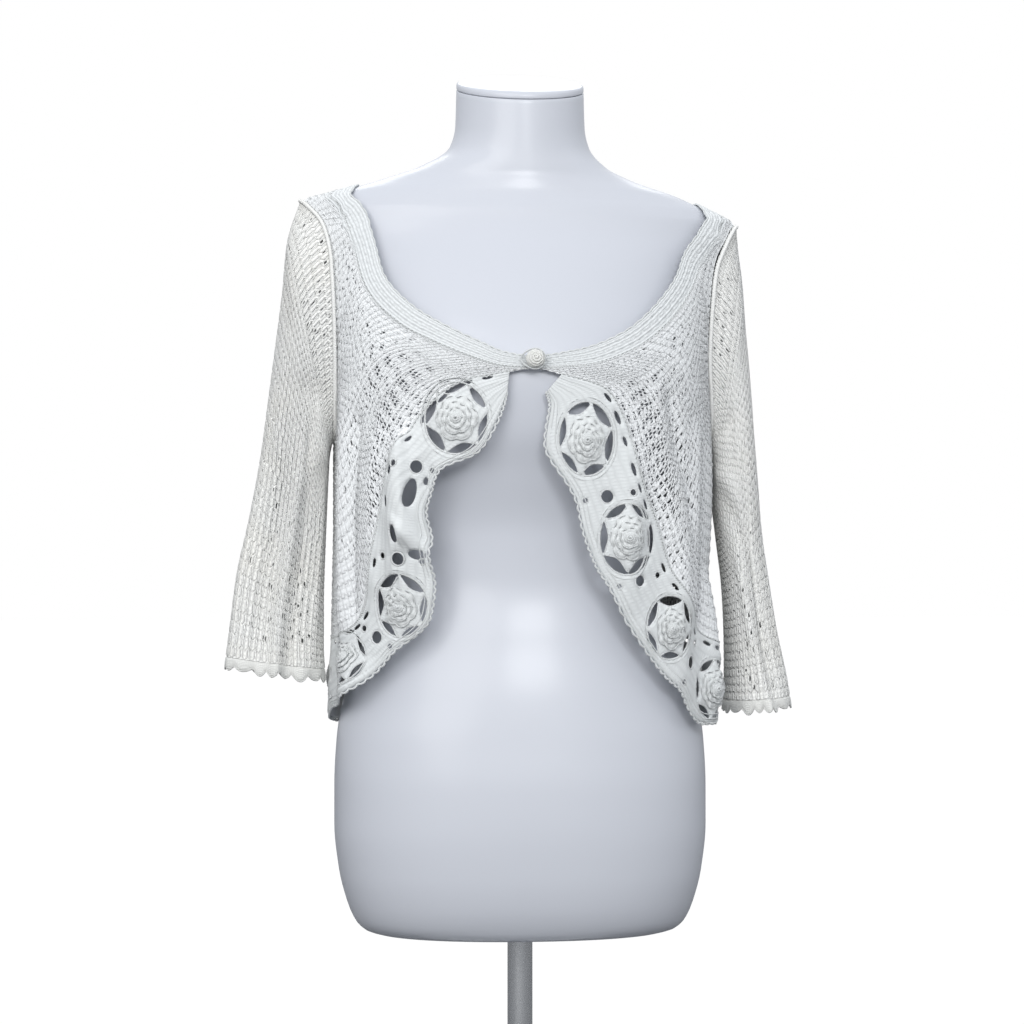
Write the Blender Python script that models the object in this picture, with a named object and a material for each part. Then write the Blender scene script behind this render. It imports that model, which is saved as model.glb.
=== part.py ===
"""A crochet bolero with three-quarter sleeves, on a glossy dress form on a round stand.

Tables are in millimetres and degrees. Heights in them start at LEVEL, a little under the form,
and angles go round the form: 0 at the centre front, -90 at the left of the view, 90 at the right.
The model stands on z = 0, faces -Y, and its pole is on the Z axis.
"""

import bpy
import numpy as np

MM = 0.001
LEVEL = 190.0  # where the heights in the tables start, above the ground
WALL = 2.0  # thickness of the knitted cloth
GAP = 0.3  # left between two pieces at a seam
INSET = GAP / 2

POLE_RADIUS = 11.0
BASE_RADIUS = 140.0
BASE_EDGE = 7.0
HUB_RADIUS = 24.0
HUB_TOP = 30.0
CAP_THICKNESS = 7.0
NECK_TOP = 748.0
NECK_SLANT = 0.27  # rise of the neck's cut towards the back, per mm

MOTIFS = 13
SIDE_LEFT, SIDE_RIGHT = 4, 9  # the trim's joints that meet the side seams
BUTTON_RADIUS = 8.0
BUTTON_LIFT = WALL / 2 + GAP + BUTTON_RADIUS  # its middle above the middle of the cloth
LOOP_RADIUS = 1.3
LOOP_STRETCH = 0.35
CUFF_TEETH = 16
CUFF_DEPTH = 7.0
TOOTH_DEPTH = 6.0

# Half widths, front and back depth, and squareness of the form's section at each height
FORM_SECTIONS = np.array([
    # height, left half, right half, front, back, exponent
    (11, 128, 128, 84, 86, 2.2),
    (14, 137, 137, 92, 94, 2.3),
    (22, 145, 145, 99, 101, 2.4),
    (38, 152, 152, 106, 109, 2.4),
    (66, 159, 159, 111, 115, 2.4),
    (105, 163, 163, 113, 116, 2.4),
    (140, 163, 163, 112, 112, 2.4),
    (180, 161, 161, 108, 104, 2.4),
    (220, 154, 154, 103, 98, 2.3),
    (270, 136, 136, 94, 88, 2.3),
    (320, 121, 121, 87, 80, 2.2),
    (360, 119, 119, 88, 79, 2.2),
    (410, 129, 129, 100, 82, 2.2),
    (450, 141, 141, 112, 88, 2.2),
    (490, 149, 149, 116, 94, 2.2),
    (530, 153, 153, 107, 97, 2.1),
    (565, 159, 158, 93, 96, 2.0),
    (595, 167, 166, 79, 90, 1.9),
    (620, 176, 177, 66, 77, 1.8),
    (632, 179, 179, 61, 70, 1.8),
    (642, 179, 169.5, 58, 65, 1.8),
    (650, 174, 153.5, 55, 60, 1.8),
    (657, 161, 137, 53, 57, 1.8),
    (665, 135, 112, 52, 55, 1.8),
    (673, 110, 91, 51, 54, 1.9),
    (680, 90, 77, 51, 53, 2.0),
    (698, 62, 61, 51, 52, 2.0),
    (716, 57, 57, 51, 51, 2.0),
    (748, 56, 56, 51, 51, 2.0),
])

# The same for the middle of the cloth, whose two shoulders are not at one height
CLOTH_SECTIONS = np.array([
    # height, left half, right half, front, back, exponent
    (150, 168, 168, 122, 120, 2.4),
    (215, 167, 167, 122, 118, 2.4),
    (260, 165, 165, 121, 114, 2.4),
    (310, 164, 164, 121, 110, 2.4),
    (370, 163, 163, 122, 104, 2.4),
    (440, 163, 163, 124, 101, 2.3),
    (490, 167, 166, 123, 102, 2.2),
    (530, 173, 170, 116, 104, 2.1),
    (570, 180, 177, 103, 103, 2.0),
    (600, 185, 184, 89, 97, 1.9),
    (620, 189, 190, 79, 88, 1.85),
    (632, 191, 189, 72, 80, 1.8),
    (642, 192, 173, 67, 73, 1.8),
    (650, 189, 157, 63, 68, 1.8),
    (657, 166, 142, 60, 64, 1.8),
    (665, 140, 126, 57, 61, 1.8),
    (690, 70, 70, 54, 56, 1.9),
])

# Soft ridges and troughs that hang in the cloth
CLOTH_FOLDS = np.array([
    # angle, spread, top, bottom, depth
    (-47, 6.5, 448, 300, 15),
    (-60, 5.0, 440, 290, 5),
    (-70, 6.0, 520, 240, 7),
    (-66, 6.0, 255, 195, 12),
    (36, 5.0, 440, 290, 6),
    (56, 5.0, 430, 215, 8),
    (72, 5.0, 330, 170, 12),
    (80, 7.0, 500, 320, 5),
    (-118, 10, 430, 170, 7),
    (-150, 9, 400, 170, 9),
    (-182, 10, 440, 170, 6),
    (-214, 9, 400, 170, 9),
    (-246, 10, 430, 170, 7),
])

# Upper edge of the neckband, from the left front corner round the back to the right front corner
NECK_EDGE = np.array([
    # place, angle, height, band width
    (0.00, -1.2, 508, 9),
    (0.12, -12, 512, 12),
    (0.25, -23, 522, 15),
    (0.37, -37, 537, 17),
    (0.48, -48, 552, 19),
    (0.62, -60, 579, 20),
    (0.80, -70, 623, 20),
    (1.00, -90, 664, 20),
    (1.30, -125, 648, 20),
    (1.60, -155, 632, 20),
    (2.00, -180, 626, 20),
    (2.40, -205, 628, 20),
    (2.70, -236, 636, 20),
    (3.00, -270, 650, 20),
    (3.20, -289, 612, 20),
    (3.38, -298, 580, 20),
    (3.52, -310, 552, 19),
    (3.63, -323, 531, 17),
    (3.76, -338, 517, 15),
    (3.88, -348.5, 512, 12),
    (4.00, -359.6, 508, 9),
])

# The lace trim, from the left front corner round the hem to the right front corner, one motif a unit
TRIM_EDGES = np.array([
    # place, inner angle, inner height, outer angle, outer height
    (0.00, -10, 496, -11, 480),
    (0.33, -28, 488, -14, 460),
    (0.67, -42, 460, -22, 430),
    (1.00, -49, 424, -35, 413),
    (1.50, -53, 385, -40, 378),
    (2.00, -57, 342, -37, 334),
    (2.50, -60, 306, -39, 291),
    (3.00, -66, 281, -52, 256),
    (3.50, -78, 270, -66, 224),
    (4.00, -90, 268, -84, 206),
    (5.00, -126, 272, -124, 190),
    (6.50, -180, 276, -180, 186),
    (8.00, -234, 272, -236, 190),
    (9.00, -270, 262, -276, 196),
    (9.50, -283, 262, -293, 196),
    (10.00, -295, 274, -305, 222),
    (10.50, -302, 300, -316, 256),
    (11.00, -309, 328, -332, 314),
    (11.50, -314, 368, -339, 350),
    (12.00, -321, 408, -347, 399),
    (12.33, -325, 450, -356, 436),
    (12.67, -333, 482, -354, 468),
    (13.00, -350, 494, -355.5, 480),
])

# Each armhole: height of the shoulder tip and of the underarm, and how far it reaches to front and back
ARMHOLES = {
    "left": {"turn": -90, "tip": 649, "underarm": 440, "front": 15, "back": 17, "sign": -1},
    "right": {"turn": -270, "tip": 631, "underarm": 436, "front": 15, "back": 17, "sign": 1},
}

# Sleeve sections: the outermost and innermost point seen from the front, half depth and y of the middle
LEFT_SLEEVE = np.array([
    # outer x, outer height, inner x, inner height, half depth, middle y
    (-203, 616, -168, 427, 43, 1),
    (-208, 568, -169, 409, 40, 2),
    (-214, 521, -170, 388, 36, 3),
    (-221, 468, -171, 362, 32, 4),
    (-227, 424, -172, 336, 29, 5),
    (-237, 371, -173, 305, 27, 5),
    (-247, 327, -173, 279, 26, 5),
    (-253, 283, -173, 257, 26, 5),
    (-257, 252, -172, 241, 27, 5),
])
RIGHT_SLEEVE = np.array([
    # outer x, outer height, inner x, inner height, half depth, middle y
    (194, 598, 169, 422, 44, 2),
    (198, 556, 171, 402, 43, 3),
    (201, 512, 173, 384, 42, 4),
    (204, 459, 176, 362, 41, 5),
    (208, 411, 179, 340, 40, 6),
    (212, 363, 182, 318, 40, 7),
    (219, 319, 184, 290, 40, 8),
    (227, 275, 185, 257, 41, 9),
    (236, 236, 185, 226, 44, 10),
    (240, 216, 184, 212, 46, 10),
])
SLEEVE_AROUND = 20  # points round a sleeve, half of them on each side of the armhole
SLEEVE_FOLDS = np.array([
    # share of the way round, spread, share of the way down, spread, depth
    (0.30, 0.05, 0.30, 0.16, 5),
    (0.17, 0.04, 0.42, 0.20, -5),
    (0.22, 0.05, 0.80, 0.20, 4),
    (0.70, 0.05, 0.35, 0.16, 5),
    (0.82, 0.05, 0.60, 0.20, -4),
])

ARMHOLE_STEPS = SLEEVE_AROUND // 2
SIDE_STEPS = 6
FRONT_ROWS = ARMHOLE_STEPS + SIDE_STEPS + 1
BACK_NECK_STEPS = 20
SHOULDER_STEPS = 3
PATCH_REACH = 0.7  # how far down and up a panel its top and bottom edges shape its grid

# A motif is drawn on rays from its middle, whose angles leave a star's point at each 60 degrees
MOTIF_RAYS = np.array([8, 24, 40, 52, 68, 90, 112, 128, 140, 156, 172,
                       188, 204, 220, 232, 248, 270, 292, 308, 320, 336, 352], float)
STAR_POINTS = (3, 6, 10, 14, 17, 21)  # the cells between two rays that hold a point
MOTIF_RINGS = {
    # ring: share of the motif's half width, height raised
    "bud": (0.20, 5.0),
    "petals": (0.45, 2.6),
    "star": (0.53, 0.0),
    "hole": (0.72, 0.3),
}
BUD_HEIGHT = 6.5

COLOURS = {
    # name: red, green, blue, roughness, metallic
    "form_plastic": (0.80, 0.83, 0.86, 0.22, 0.0),
    "chrome": (0.72, 0.74, 0.77, 0.12, 1.0),
    "base_metal": (0.62, 0.64, 0.67, 0.30, 1.0),
    "cotton_body": (0.84, 0.86, 0.86, 0.90, 0.0),
    "cotton_sleeve": (0.86, 0.85, 0.80, 0.90, 0.0),
    "cotton_trim": (0.88, 0.89, 0.89, 0.85, 0.0),
    "cotton_button": (0.88, 0.88, 0.85, 0.85, 0.0),
}


def material(name):
    """The material of this name, made the first time it is asked for."""
    found = bpy.data.materials.get(name)
    if found:
        return found
    red, green, blue, roughness, metallic = COLOURS[name]
    made = bpy.data.materials.new(name)
    made.use_nodes = True
    shader = made.node_tree.nodes["Principled BSDF"]
    shader.inputs["Base Color"].default_value = (red, green, blue, 1)
    shader.inputs["Roughness"].default_value = roughness
    shader.inputs["Metallic"].default_value = metallic
    return made


def curve_through(table, places):
    """A smooth curve through the table's rows, read at places in its first column."""
    xs, rows = table[:, 0], table[:, 1:]
    steps = np.diff(xs)
    slopes = np.diff(rows, axis=0) / steps[:, None]
    before, after = slopes[:-1], slopes[1:]
    same_way = before * after > 0
    total = np.where(same_way, before + after, 1)
    middle = np.where(same_way, 2 * before * after / total, 0)
    tangents = np.concatenate([slopes[:1], middle, slopes[-1:]])
    places = np.asarray(places, float)
    first = np.clip(np.searchsorted(xs, places, side="right") - 1, 0, len(steps) - 1)
    t = np.clip((places - xs[first]) / steps[first], 0, 1)[..., None]
    step = steps[first][..., None]
    near, far = rows[first], rows[first + 1]
    return ((1 + 2 * t) * (1 - t) ** 2 * near + t * (1 - t) ** 2 * step * tangents[first]
            + t * t * (3 - 2 * t) * far + t * t * (t - 1) * step * tangents[first + 1])


def rounded_section(angle, left, right, front, back, exponent):
    """Distance from the axis to a superellipse with its own half size on each of its four sides."""
    side = np.sin(np.radians(angle))
    ahead = np.cos(np.radians(angle))
    across = np.abs(side) / np.where(side < 0, left, right)
    along = np.abs(ahead) / np.where(ahead > 0, front, back)
    return (across ** exponent + along ** exponent) ** (-1 / exponent)


def round_the_axis(angle, distance, height):
    turned = np.radians(angle)
    return np.stack([distance * np.sin(turned), -distance * np.cos(turned), height], axis=-1)


def fold_height(angle, height):
    """How far the folds push the cloth out: a bell across each fold, faded at its two ends."""
    total = np.zeros(np.broadcast(angle, height).shape)
    for middle, spread, top, bottom, depth in CLOTH_FOLDS:
        away = (angle - middle + 180) % 360 - 180
        along = np.clip((height - bottom) / (top - bottom), 0, 1)
        total += depth * np.exp(-(away / spread) ** 2) * np.sin(np.pi * along) ** 0.8
    return total


def cloth_point(angle, height):
    """The middle of the cloth at an angle round the body and a height."""
    left, right, front, back, exponent = np.moveaxis(curve_through(CLOTH_SECTIONS, height), -1, 0)
    distance = rounded_section(angle, left, right, front, back, exponent)
    return round_the_axis(angle, distance + fold_height(angle, height), height)


def cloth_normal(angle, height):
    """The direction straight out of the cloth, from its slopes over small steps."""
    round_step, up_step = 0.5, 1.0
    across = cloth_point(angle + round_step, height) - cloth_point(angle - round_step, height)
    upward = cloth_point(angle, height + up_step) - cloth_point(angle, height - up_step)
    normal = np.cross(across, upward)
    return normal / np.linalg.norm(normal, axis=-1, keepdims=True)


def add_mesh(name, points, faces, material_name, sharp=35):
    """An object from points in millimetres, lifted onto the stand, with smooth rounds."""
    world = np.asarray(points, float).reshape(-1, 3) * MM + (0, 0, LEVEL * MM)
    mesh = bpy.data.meshes.new(name)
    mesh.from_pydata([tuple(point) for point in world], [], faces)
    mesh.update()
    mesh.shade_smooth()
    mesh.set_sharp_from_angle(angle=np.radians(sharp))
    mesh.materials.append(material(material_name))
    made = bpy.data.objects.new(name, mesh)
    bpy.context.scene.collection.objects.link(made)
    return made


def thick_sheet(name, middle, normal, cells, material_name, raised=0.0):
    """A closed wall round a sheet: its cells on both sides, joined along every open edge."""
    middle = middle.reshape(-1, 3)
    normal = normal.reshape(-1, 3)
    raised = np.broadcast_to(np.asarray(raised, float).reshape(-1, 1), (len(middle), 1))
    outside = middle + normal * (WALL / 2 + raised)
    inside = middle - normal * WALL / 2
    count = len(middle)
    edges = {(cell[i - 1], cell[i]) for cell in cells for i in range(len(cell))}
    faces = list(cells)
    faces += [tuple(count + i for i in reversed(cell)) for cell in cells]
    faces += [(b, a, a + count, b + count) for a, b in sorted(edges) if (b, a) not in edges]
    return add_mesh(name, np.concatenate([outside, inside]), faces, material_name)


def grid_cells(rows, columns, closed=False):
    """The four-sided cells of a grid whose columns may close into a ring."""
    last = columns if closed else columns - 1
    return [(i * columns + j, i * columns + (j + 1) % columns,
             (i + 1) * columns + (j + 1) % columns, (i + 1) * columns + j)
            for i in range(rows - 1) for j in range(last)]


def drawn_in(grid, amount=INSET):
    """The grid with its outline moved in, to leave the gap of a seam."""
    moved = grid.copy()
    for edge, neighbour in (((0, slice(None)), (1, slice(None))), ((-1, slice(None)), (-2, slice(None))),
                            ((slice(None), 0), (slice(None), 1)), ((slice(None), -1), (slice(None), -2))):
        way = grid[neighbour] - grid[edge]
        moved[edge] += amount * way / np.linalg.norm(way, axis=-1, keepdims=True)
    return moved


def neck_edge(places, lower=False):
    """Angle and height along the neckband's upper edge, or its lower one, a band's width across."""
    places = np.asarray(places, float)
    angle, height, width = np.moveaxis(curve_through(NECK_EDGE, places), -1, 0)
    if not lower:
        return np.stack([angle, height], axis=-1)
    step = 0.01
    ahead = curve_through(NECK_EDGE, np.clip(places + step, 0, 4))
    behind = curve_through(NECK_EDGE, np.clip(places - step, 0, 4))
    along = cloth_point(ahead[..., 0], ahead[..., 1]) - cloth_point(behind[..., 0], behind[..., 1])
    along /= np.linalg.norm(along, axis=-1, keepdims=True)
    outward = cloth_normal(angle, height)
    below = cloth_point(angle, height) + np.cross(outward, along) * width[..., None]
    turned = np.degrees(np.arctan2(below[..., 0], -below[..., 1]))
    turned = angle + (turned - angle + 180) % 360 - 180
    return np.stack([turned, below[..., 2]], axis=-1)


def trim_point(place, share):
    """Angle and height in the trim: place counts motifs, share goes from its inner to its outer edge."""
    edges = curve_through(TRIM_EDGES, place)
    share = np.asarray(share, float)[..., None]
    return edges[..., :2] * (1 - share) + edges[..., 2:] * share


def armhole(side, face, steps=ARMHOLE_STEPS):
    """Angles and heights from a shoulder tip to the underarm, by the front or the back."""
    hole = ARMHOLES[side]
    t = np.linspace(0, 1, steps + 1)
    forward = -hole["sign"] if face == "front" else hole["sign"]
    angle = hole["turn"] + forward * hole[face] * np.sin(np.pi * t)
    height = hole["tip"] - (hole["tip"] - hole["underarm"]) * (1 - np.cos(np.pi * t)) / 2
    return np.stack([angle, height], axis=-1)


def side_edge(side, face):
    """The armhole and then the side seam down to the trim."""
    hole = ARMHOLES[side]
    joint = SIDE_LEFT if side == "left" else SIDE_RIGHT
    top = np.array([hole["turn"], hole["underarm"]])
    foot = trim_point(np.array(float(joint)), 0.0)
    t = np.linspace(0, 1, SIDE_STEPS + 1)[1:, None]
    return np.concatenate([armhole(side, face), top * (1 - t) + foot * t])


def trim_edge_places(first, last):
    """Places along the trim's inner edge that match the points of the motifs' outlines."""
    facing = np.radians(MOTIF_RAYS[(MOTIF_RAYS > 180 + 45) & (MOTIF_RAYS < 360 - 45)])
    offsets = -0.5 / np.tan(facing)
    inner = (np.arange(first, last)[:, None] + 0.5 + offsets).ravel()
    return np.array([first, *inner, last], float)


def eased(t):
    t = np.clip(t, 0, 1)
    return t * t * (3 - 2 * t)


def patch(top, bottom, left, right):
    """A patch ruled between its sides, which eases to the shape of its top and bottom near them."""
    u = np.linspace(0, 1, len(top))[None, :, None]
    v = np.linspace(0, 1, len(left))[:, None, None]
    ruled = (1 - u) * left[:, None] + u * right[:, None]
    near_top = eased((PATCH_REACH - v) / PATCH_REACH)
    near_bottom = eased((v - 1 + PATCH_REACH) / PATCH_REACH)
    return ruled + near_top * (top[None] - ruled[:1]) + near_bottom * (bottom[None] - ruled[-1:])


def panel(name, plan):
    """A panel of the body, from the angles and heights of its grid, with its rows running down."""
    angle, height = plan[..., 0], plan[..., 1]
    middle = drawn_in(cloth_point(angle, height))
    rows, columns = angle.shape
    return thick_sheet(name, middle, cloth_normal(angle, height),
                       [cell[::-1] for cell in grid_cells(rows, columns)], "cotton_body")


def line(start, end, steps):
    """Angles and heights on a straight line between two places."""
    t = np.linspace(0, 1, steps + 1)[:, None]
    return np.asarray(start) * (1 - t) + np.asarray(end) * t


def left_front_plan():
    bottom = trim_point(trim_edge_places(0, SIDE_LEFT), 0.0)[::-1]
    neckline = neck_edge(np.linspace(1, 0, FRONT_ROWS), lower=True)
    bottom[-1] = neckline[-1]
    left = side_edge("left", "front")
    top = line(left[0], neckline[0], len(bottom) - 1)
    return patch(top, bottom, left, neckline)


def right_front_plan():
    bottom = trim_point(trim_edge_places(SIDE_RIGHT, MOTIFS), 0.0)[::-1]
    neckline = neck_edge(np.linspace(3, 4, FRONT_ROWS), lower=True)
    bottom[0] = neckline[-1]
    right = side_edge("right", "front")
    top = line(neckline[0], right[0], len(bottom) - 1)
    return patch(top, bottom, neckline, right)


def back_plan():
    """Seen from the front the back runs from right to left, so that its angles grow along a row."""
    bottom = trim_point(trim_edge_places(SIDE_LEFT, SIDE_RIGHT), 0.0)[::-1]
    neckline = neck_edge(np.linspace(3, 1, BACK_NECK_STEPS + 1), lower=True)
    left, right = side_edge("left", "back"), side_edge("right", "back")
    top = np.concatenate([line(right[0], neckline[0], SHOULDER_STEPS)[:-1], neckline,
                          line(neckline[-1], left[0], SHOULDER_STEPS)[1:]])
    return patch(top, bottom, right, left)


def neckband():
    """The band round the neck, with a point for each row of the panels below it."""
    places = np.concatenate([np.linspace(0, 1, FRONT_ROWS), np.linspace(1, 3, BACK_NECK_STEPS + 1)[1:],
                             np.linspace(3, 4, FRONT_ROWS)[1:]])
    upper, lower = neck_edge(places), neck_edge(places, lower=True)
    share = np.array([0, 0.5, 1])[:, None, None]
    plan = upper[None] * (1 - share) + lower[None] * share
    angle, height = plan[..., 0], plan[..., 1]
    cells = grid_cells(*angle.shape)
    return thick_sheet("neckband", drawn_in(cloth_point(angle, height), GAP), cloth_normal(angle, height),
                       cells, "cotton_trim")


def motif(index):
    """One lace motif: a raised rose on a star whose points meet a ring, with six gaps cut through."""
    turned = np.radians(MOTIF_RAYS)
    way = np.stack([np.cos(turned), np.sin(turned)], axis=-1)
    outline = 1 / np.abs(way).max(axis=1)
    shares = [share for share, _ in MOTIF_RINGS.values()]
    reach = np.stack([np.full(len(turned), share) for share in shares] + [outline])
    spot = np.concatenate([np.zeros((1, 2)), (reach[..., None] * way[None]).reshape(-1, 2)])
    plan = trim_point(index + 0.5 + spot[:, 0] / 2, 0.5 + spot[:, 1] / 2)
    angle, height = plan[:, 0], plan[:, 1]
    middle = cloth_point(angle, height)
    rays = len(turned)
    edge = slice(1 + len(shares) * rays, None)
    inward = middle[0] - middle[edge]
    middle[edge] += INSET * inward / np.linalg.norm(inward, axis=-1, keepdims=True)
    raised = np.concatenate([[BUD_HEIGHT], np.repeat([up for _, up in MOTIF_RINGS.values()], rays),
                             np.zeros(rays)])
    raised[1 + rays:1 + 2 * rays:2] += 1.2
    cells = [(0, 1 + j, 1 + (j + 1) % rays) for j in range(rays)]
    star = list(MOTIF_RINGS).index("star")
    for ring in range(len(shares)):
        for j in range(rays):
            k = (j + 1) % rays
            if ring == star and j not in STAR_POINTS:
                continue
            near, far = 1 + ring * rays, 1 + (ring + 1) * rays
            cells.append((near + j, far + j, far + k, near + k))
    return thick_sheet(f"motif_{index + 1:02d}", middle, cloth_normal(angle, height), cells,
                       "cotton_trim", raised)


def sleeve_rings(side):
    """Rings of points down a sleeve, from the armhole to the cuff."""
    table = LEFT_SLEEVE if side == "left" else RIGHT_SLEEVE
    front, back = armhole(side, "front"), armhole(side, "back")
    loop = np.concatenate([front, back[-2:0:-1]])
    start = (cloth_point(loop[:, 0], loop[:, 1])
             + cloth_normal(loop[:, 0], loop[:, 1]) * (WALL + GAP))
    t = np.linspace(0, 2 * np.pi, SLEEVE_AROUND, endpoint=False)
    rings = [start]
    for outer_x, outer_z, inner_x, inner_z, depth, middle_y in table:
        middle = np.array([(outer_x + inner_x) / 2, middle_y, (outer_z + inner_z) / 2])
        reach = np.array([(outer_x - inner_x) / 2, 0, (outer_z - inner_z) / 2])
        rings.append(middle + np.cos(t)[:, None] * reach
                     + np.sin(t)[:, None] * np.array([0, -depth, 0]))
    rings = np.array(rings)
    down = np.linspace(0, 1, len(rings))[:, None]
    round_it = (t / (2 * np.pi))[None]
    push = np.zeros((len(rings), SLEEVE_AROUND))
    for place, spread, level, reach_down, depth in SLEEVE_FOLDS:
        away = (round_it - place + 0.5) % 1 - 0.5
        push += depth * np.exp(-(away / spread) ** 2 - ((down - level) / reach_down) ** 2)
    return rings + ring_normals(rings, side) * push[..., None]


def ring_normals(rings, side):
    """Directions out of a tube of rings."""
    around = np.roll(rings, -1, axis=1) - np.roll(rings, 1, axis=1)
    down = np.gradient(rings, axis=0)
    normal = np.cross(around, down) * (1 if side == "left" else -1)
    return normal / np.linalg.norm(normal, axis=-1, keepdims=True)


def tube(name, rings, side, material_name):
    rows, columns = rings.shape[:2]
    cells = grid_cells(rows, columns, closed=True)
    if side == "right":
        cells = [cell[::-1] for cell in cells]
    return thick_sheet(name, rings, ring_normals(rings, side), cells, material_name)


def sleeve(side):
    return tube(f"sleeve_{side}", sleeve_rings(side), side, "cotton_sleeve")


def cuff(side):
    """The toothed edging under a sleeve's end."""
    rings = sleeve_rings(side)
    end, above = rings[-1], rings[-2]
    around = CUFF_TEETH * 2
    place = np.arange(around) * SLEEVE_AROUND / around
    first = place.astype(int)
    part = (place - first)[:, None]
    after = (first + 1) % SLEEVE_AROUND
    edge = end[first] * (1 - part) + end[after] * part
    upper = above[first] * (1 - part) + above[after] * part
    fall = edge - upper
    fall /= np.linalg.norm(fall, axis=-1, keepdims=True)
    tooth = np.where(np.arange(around) % 2, TOOTH_DEPTH, 0)[:, None]
    made = np.array([edge + fall * 2 * GAP, edge + fall * CUFF_DEPTH, edge + fall * (CUFF_DEPTH + tooth)
                     + fall * GAP * 4])
    return tube(f"cuff_edging_{side}", made, side, "cotton_trim")


def form_rings(heights, around):
    """Rings of the dress form, whose neck is cut at a slant."""
    angle = np.linspace(0, 360, around, endpoint=False)[None]
    distance = rounded_section(angle, *curve_through(FORM_SECTIONS, heights).T[..., None])
    rings = round_the_axis(angle, distance, np.broadcast_to(heights[:, None], distance.shape))
    slanted = np.clip((heights - 680) / (NECK_TOP - 680), 0, 1)[:, None]
    rings[..., 2] += NECK_SLANT * rings[..., 1] * slanted
    return rings


def capped_rings(name, rings, material_name):
    """A solid with a face on its first and last ring, which run upwards."""
    rows, columns = rings.shape[:2]
    faces = grid_cells(rows, columns, closed=True)
    faces.append(tuple(range(columns))[::-1])
    faces.append(tuple((rows - 1) * columns + j for j in range(columns)))
    return add_mesh(name, rings, faces, material_name)


def dress_form():
    around = 32
    heights = np.array([11, 14, 22, 38, 66, 105, 160, 215, 270, 320, 370, 420, 465, 505,
                        545, 580, 608, 632, 642, 650, 657, 665, 673, 682, 698, 716, NECK_TOP], float)
    capped_rings("form_torso", form_rings(heights, around), "form_plastic")
    rim = form_rings(np.array([NECK_TOP]), around)[0]
    middle = rim.mean(axis=0)
    levels = np.array([(GAP, 1.0), (CAP_THICKNESS * 0.7, 1.0), (CAP_THICKNESS, 0.93)])
    cap = np.array([middle + (rim - middle) * share + (0, 0, lift) for lift, share in levels])
    capped_rings("form_neck_cap", cap, "form_plastic")


def turned(name, profile, material_name, around=36):
    """A turned solid from radii and heights above the ground, listed upwards."""
    angle = np.linspace(0, 360, around, endpoint=False)[None]
    radius = np.array([row[0] for row in profile])[:, None]
    height = np.array([row[1] for row in profile])[:, None] - LEVEL
    rings = round_the_axis(angle, np.broadcast_to(radius, (len(profile), around)),
                           np.broadcast_to(height, (len(profile), around)))
    return capped_rings(name, rings, material_name)


def stand():
    turned("stand_base", [(BASE_RADIUS - 1, 0), (BASE_RADIUS, 1), (BASE_RADIUS, BASE_EDGE - 2),
                          (BASE_RADIUS - 2, BASE_EDGE), (HUB_RADIUS * 2, BASE_EDGE + 3),
                          (HUB_RADIUS, HUB_TOP - 8), (HUB_RADIUS - 6, HUB_TOP)], "base_metal", 48)
    form_underside = LEVEL + FORM_SECTIONS[0, 0]
    turned("stand_pole", [(POLE_RADIUS, HUB_TOP + GAP), (POLE_RADIUS, form_underside - GAP)], "chrome", 24)


def button_centre():
    """The button is sewn on the right front's end of the neckband."""
    angle, height = 1.0, 503.0
    return cloth_point(angle, height) + cloth_normal(angle, height) * BUTTON_LIFT


def ball(name, centre, radius, material_name, rings=7, around=14):
    latitude = np.linspace(-90, 90, rings + 2)[1:-1, None]
    reach = radius * np.cos(np.radians(latitude))
    angle = np.linspace(0, 360, around, endpoint=False)[None]
    points = round_the_axis(angle, np.broadcast_to(reach, (rings, around)),
                            np.broadcast_to(radius * np.sin(np.radians(latitude)), (rings, around)))
    return capped_rings(name, points + centre, material_name)


def button_loop():
    """The left front's loop, round the button and back down to its own end of the neckband."""
    around, across = 20, 6
    ring_radius = BUTTON_RADIUS + LOOP_RADIUS + GAP
    t = np.linspace(0, 2 * np.pi, around, endpoint=False)[:, None]
    p = np.linspace(0, 2 * np.pi, across, endpoint=False)[None]
    leftward = np.clip(-np.cos(t), 0, 1)
    reach = ring_radius + LOOP_RADIUS * np.cos(p)
    down_to_cloth = (BUTTON_LIFT - WALL / 2 - GAP - LOOP_RADIUS) * leftward ** 2
    points = np.stack([reach * np.cos(t) * (1 + LOOP_STRETCH * leftward ** 2),
                       down_to_cloth - LOOP_RADIUS * np.sin(p),
                       reach * np.sin(t)], axis=-1)
    faces = [(i * across + j, (i + 1) % around * across + j,
              (i + 1) % around * across + (j + 1) % across, i * across + (j + 1) % across)
             for i in range(around) for j in range(across)]
    add_mesh("button_loop", points + button_centre(), faces, "cotton_trim")


def main():
    for old in list(bpy.data.objects):
        bpy.data.objects.remove(old, do_unlink=True)
    panel("front_left", left_front_plan())
    panel("front_right", right_front_plan())
    panel("back_panel", back_plan())
    neckband()
    for index in range(MOTIFS):
        motif(index)
    for side in ("left", "right"):
        sleeve(side)
        cuff(side)
    ball("button", button_centre(), BUTTON_RADIUS, "cotton_button")
    button_loop()
    dress_form()
    stand()


main()
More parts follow.
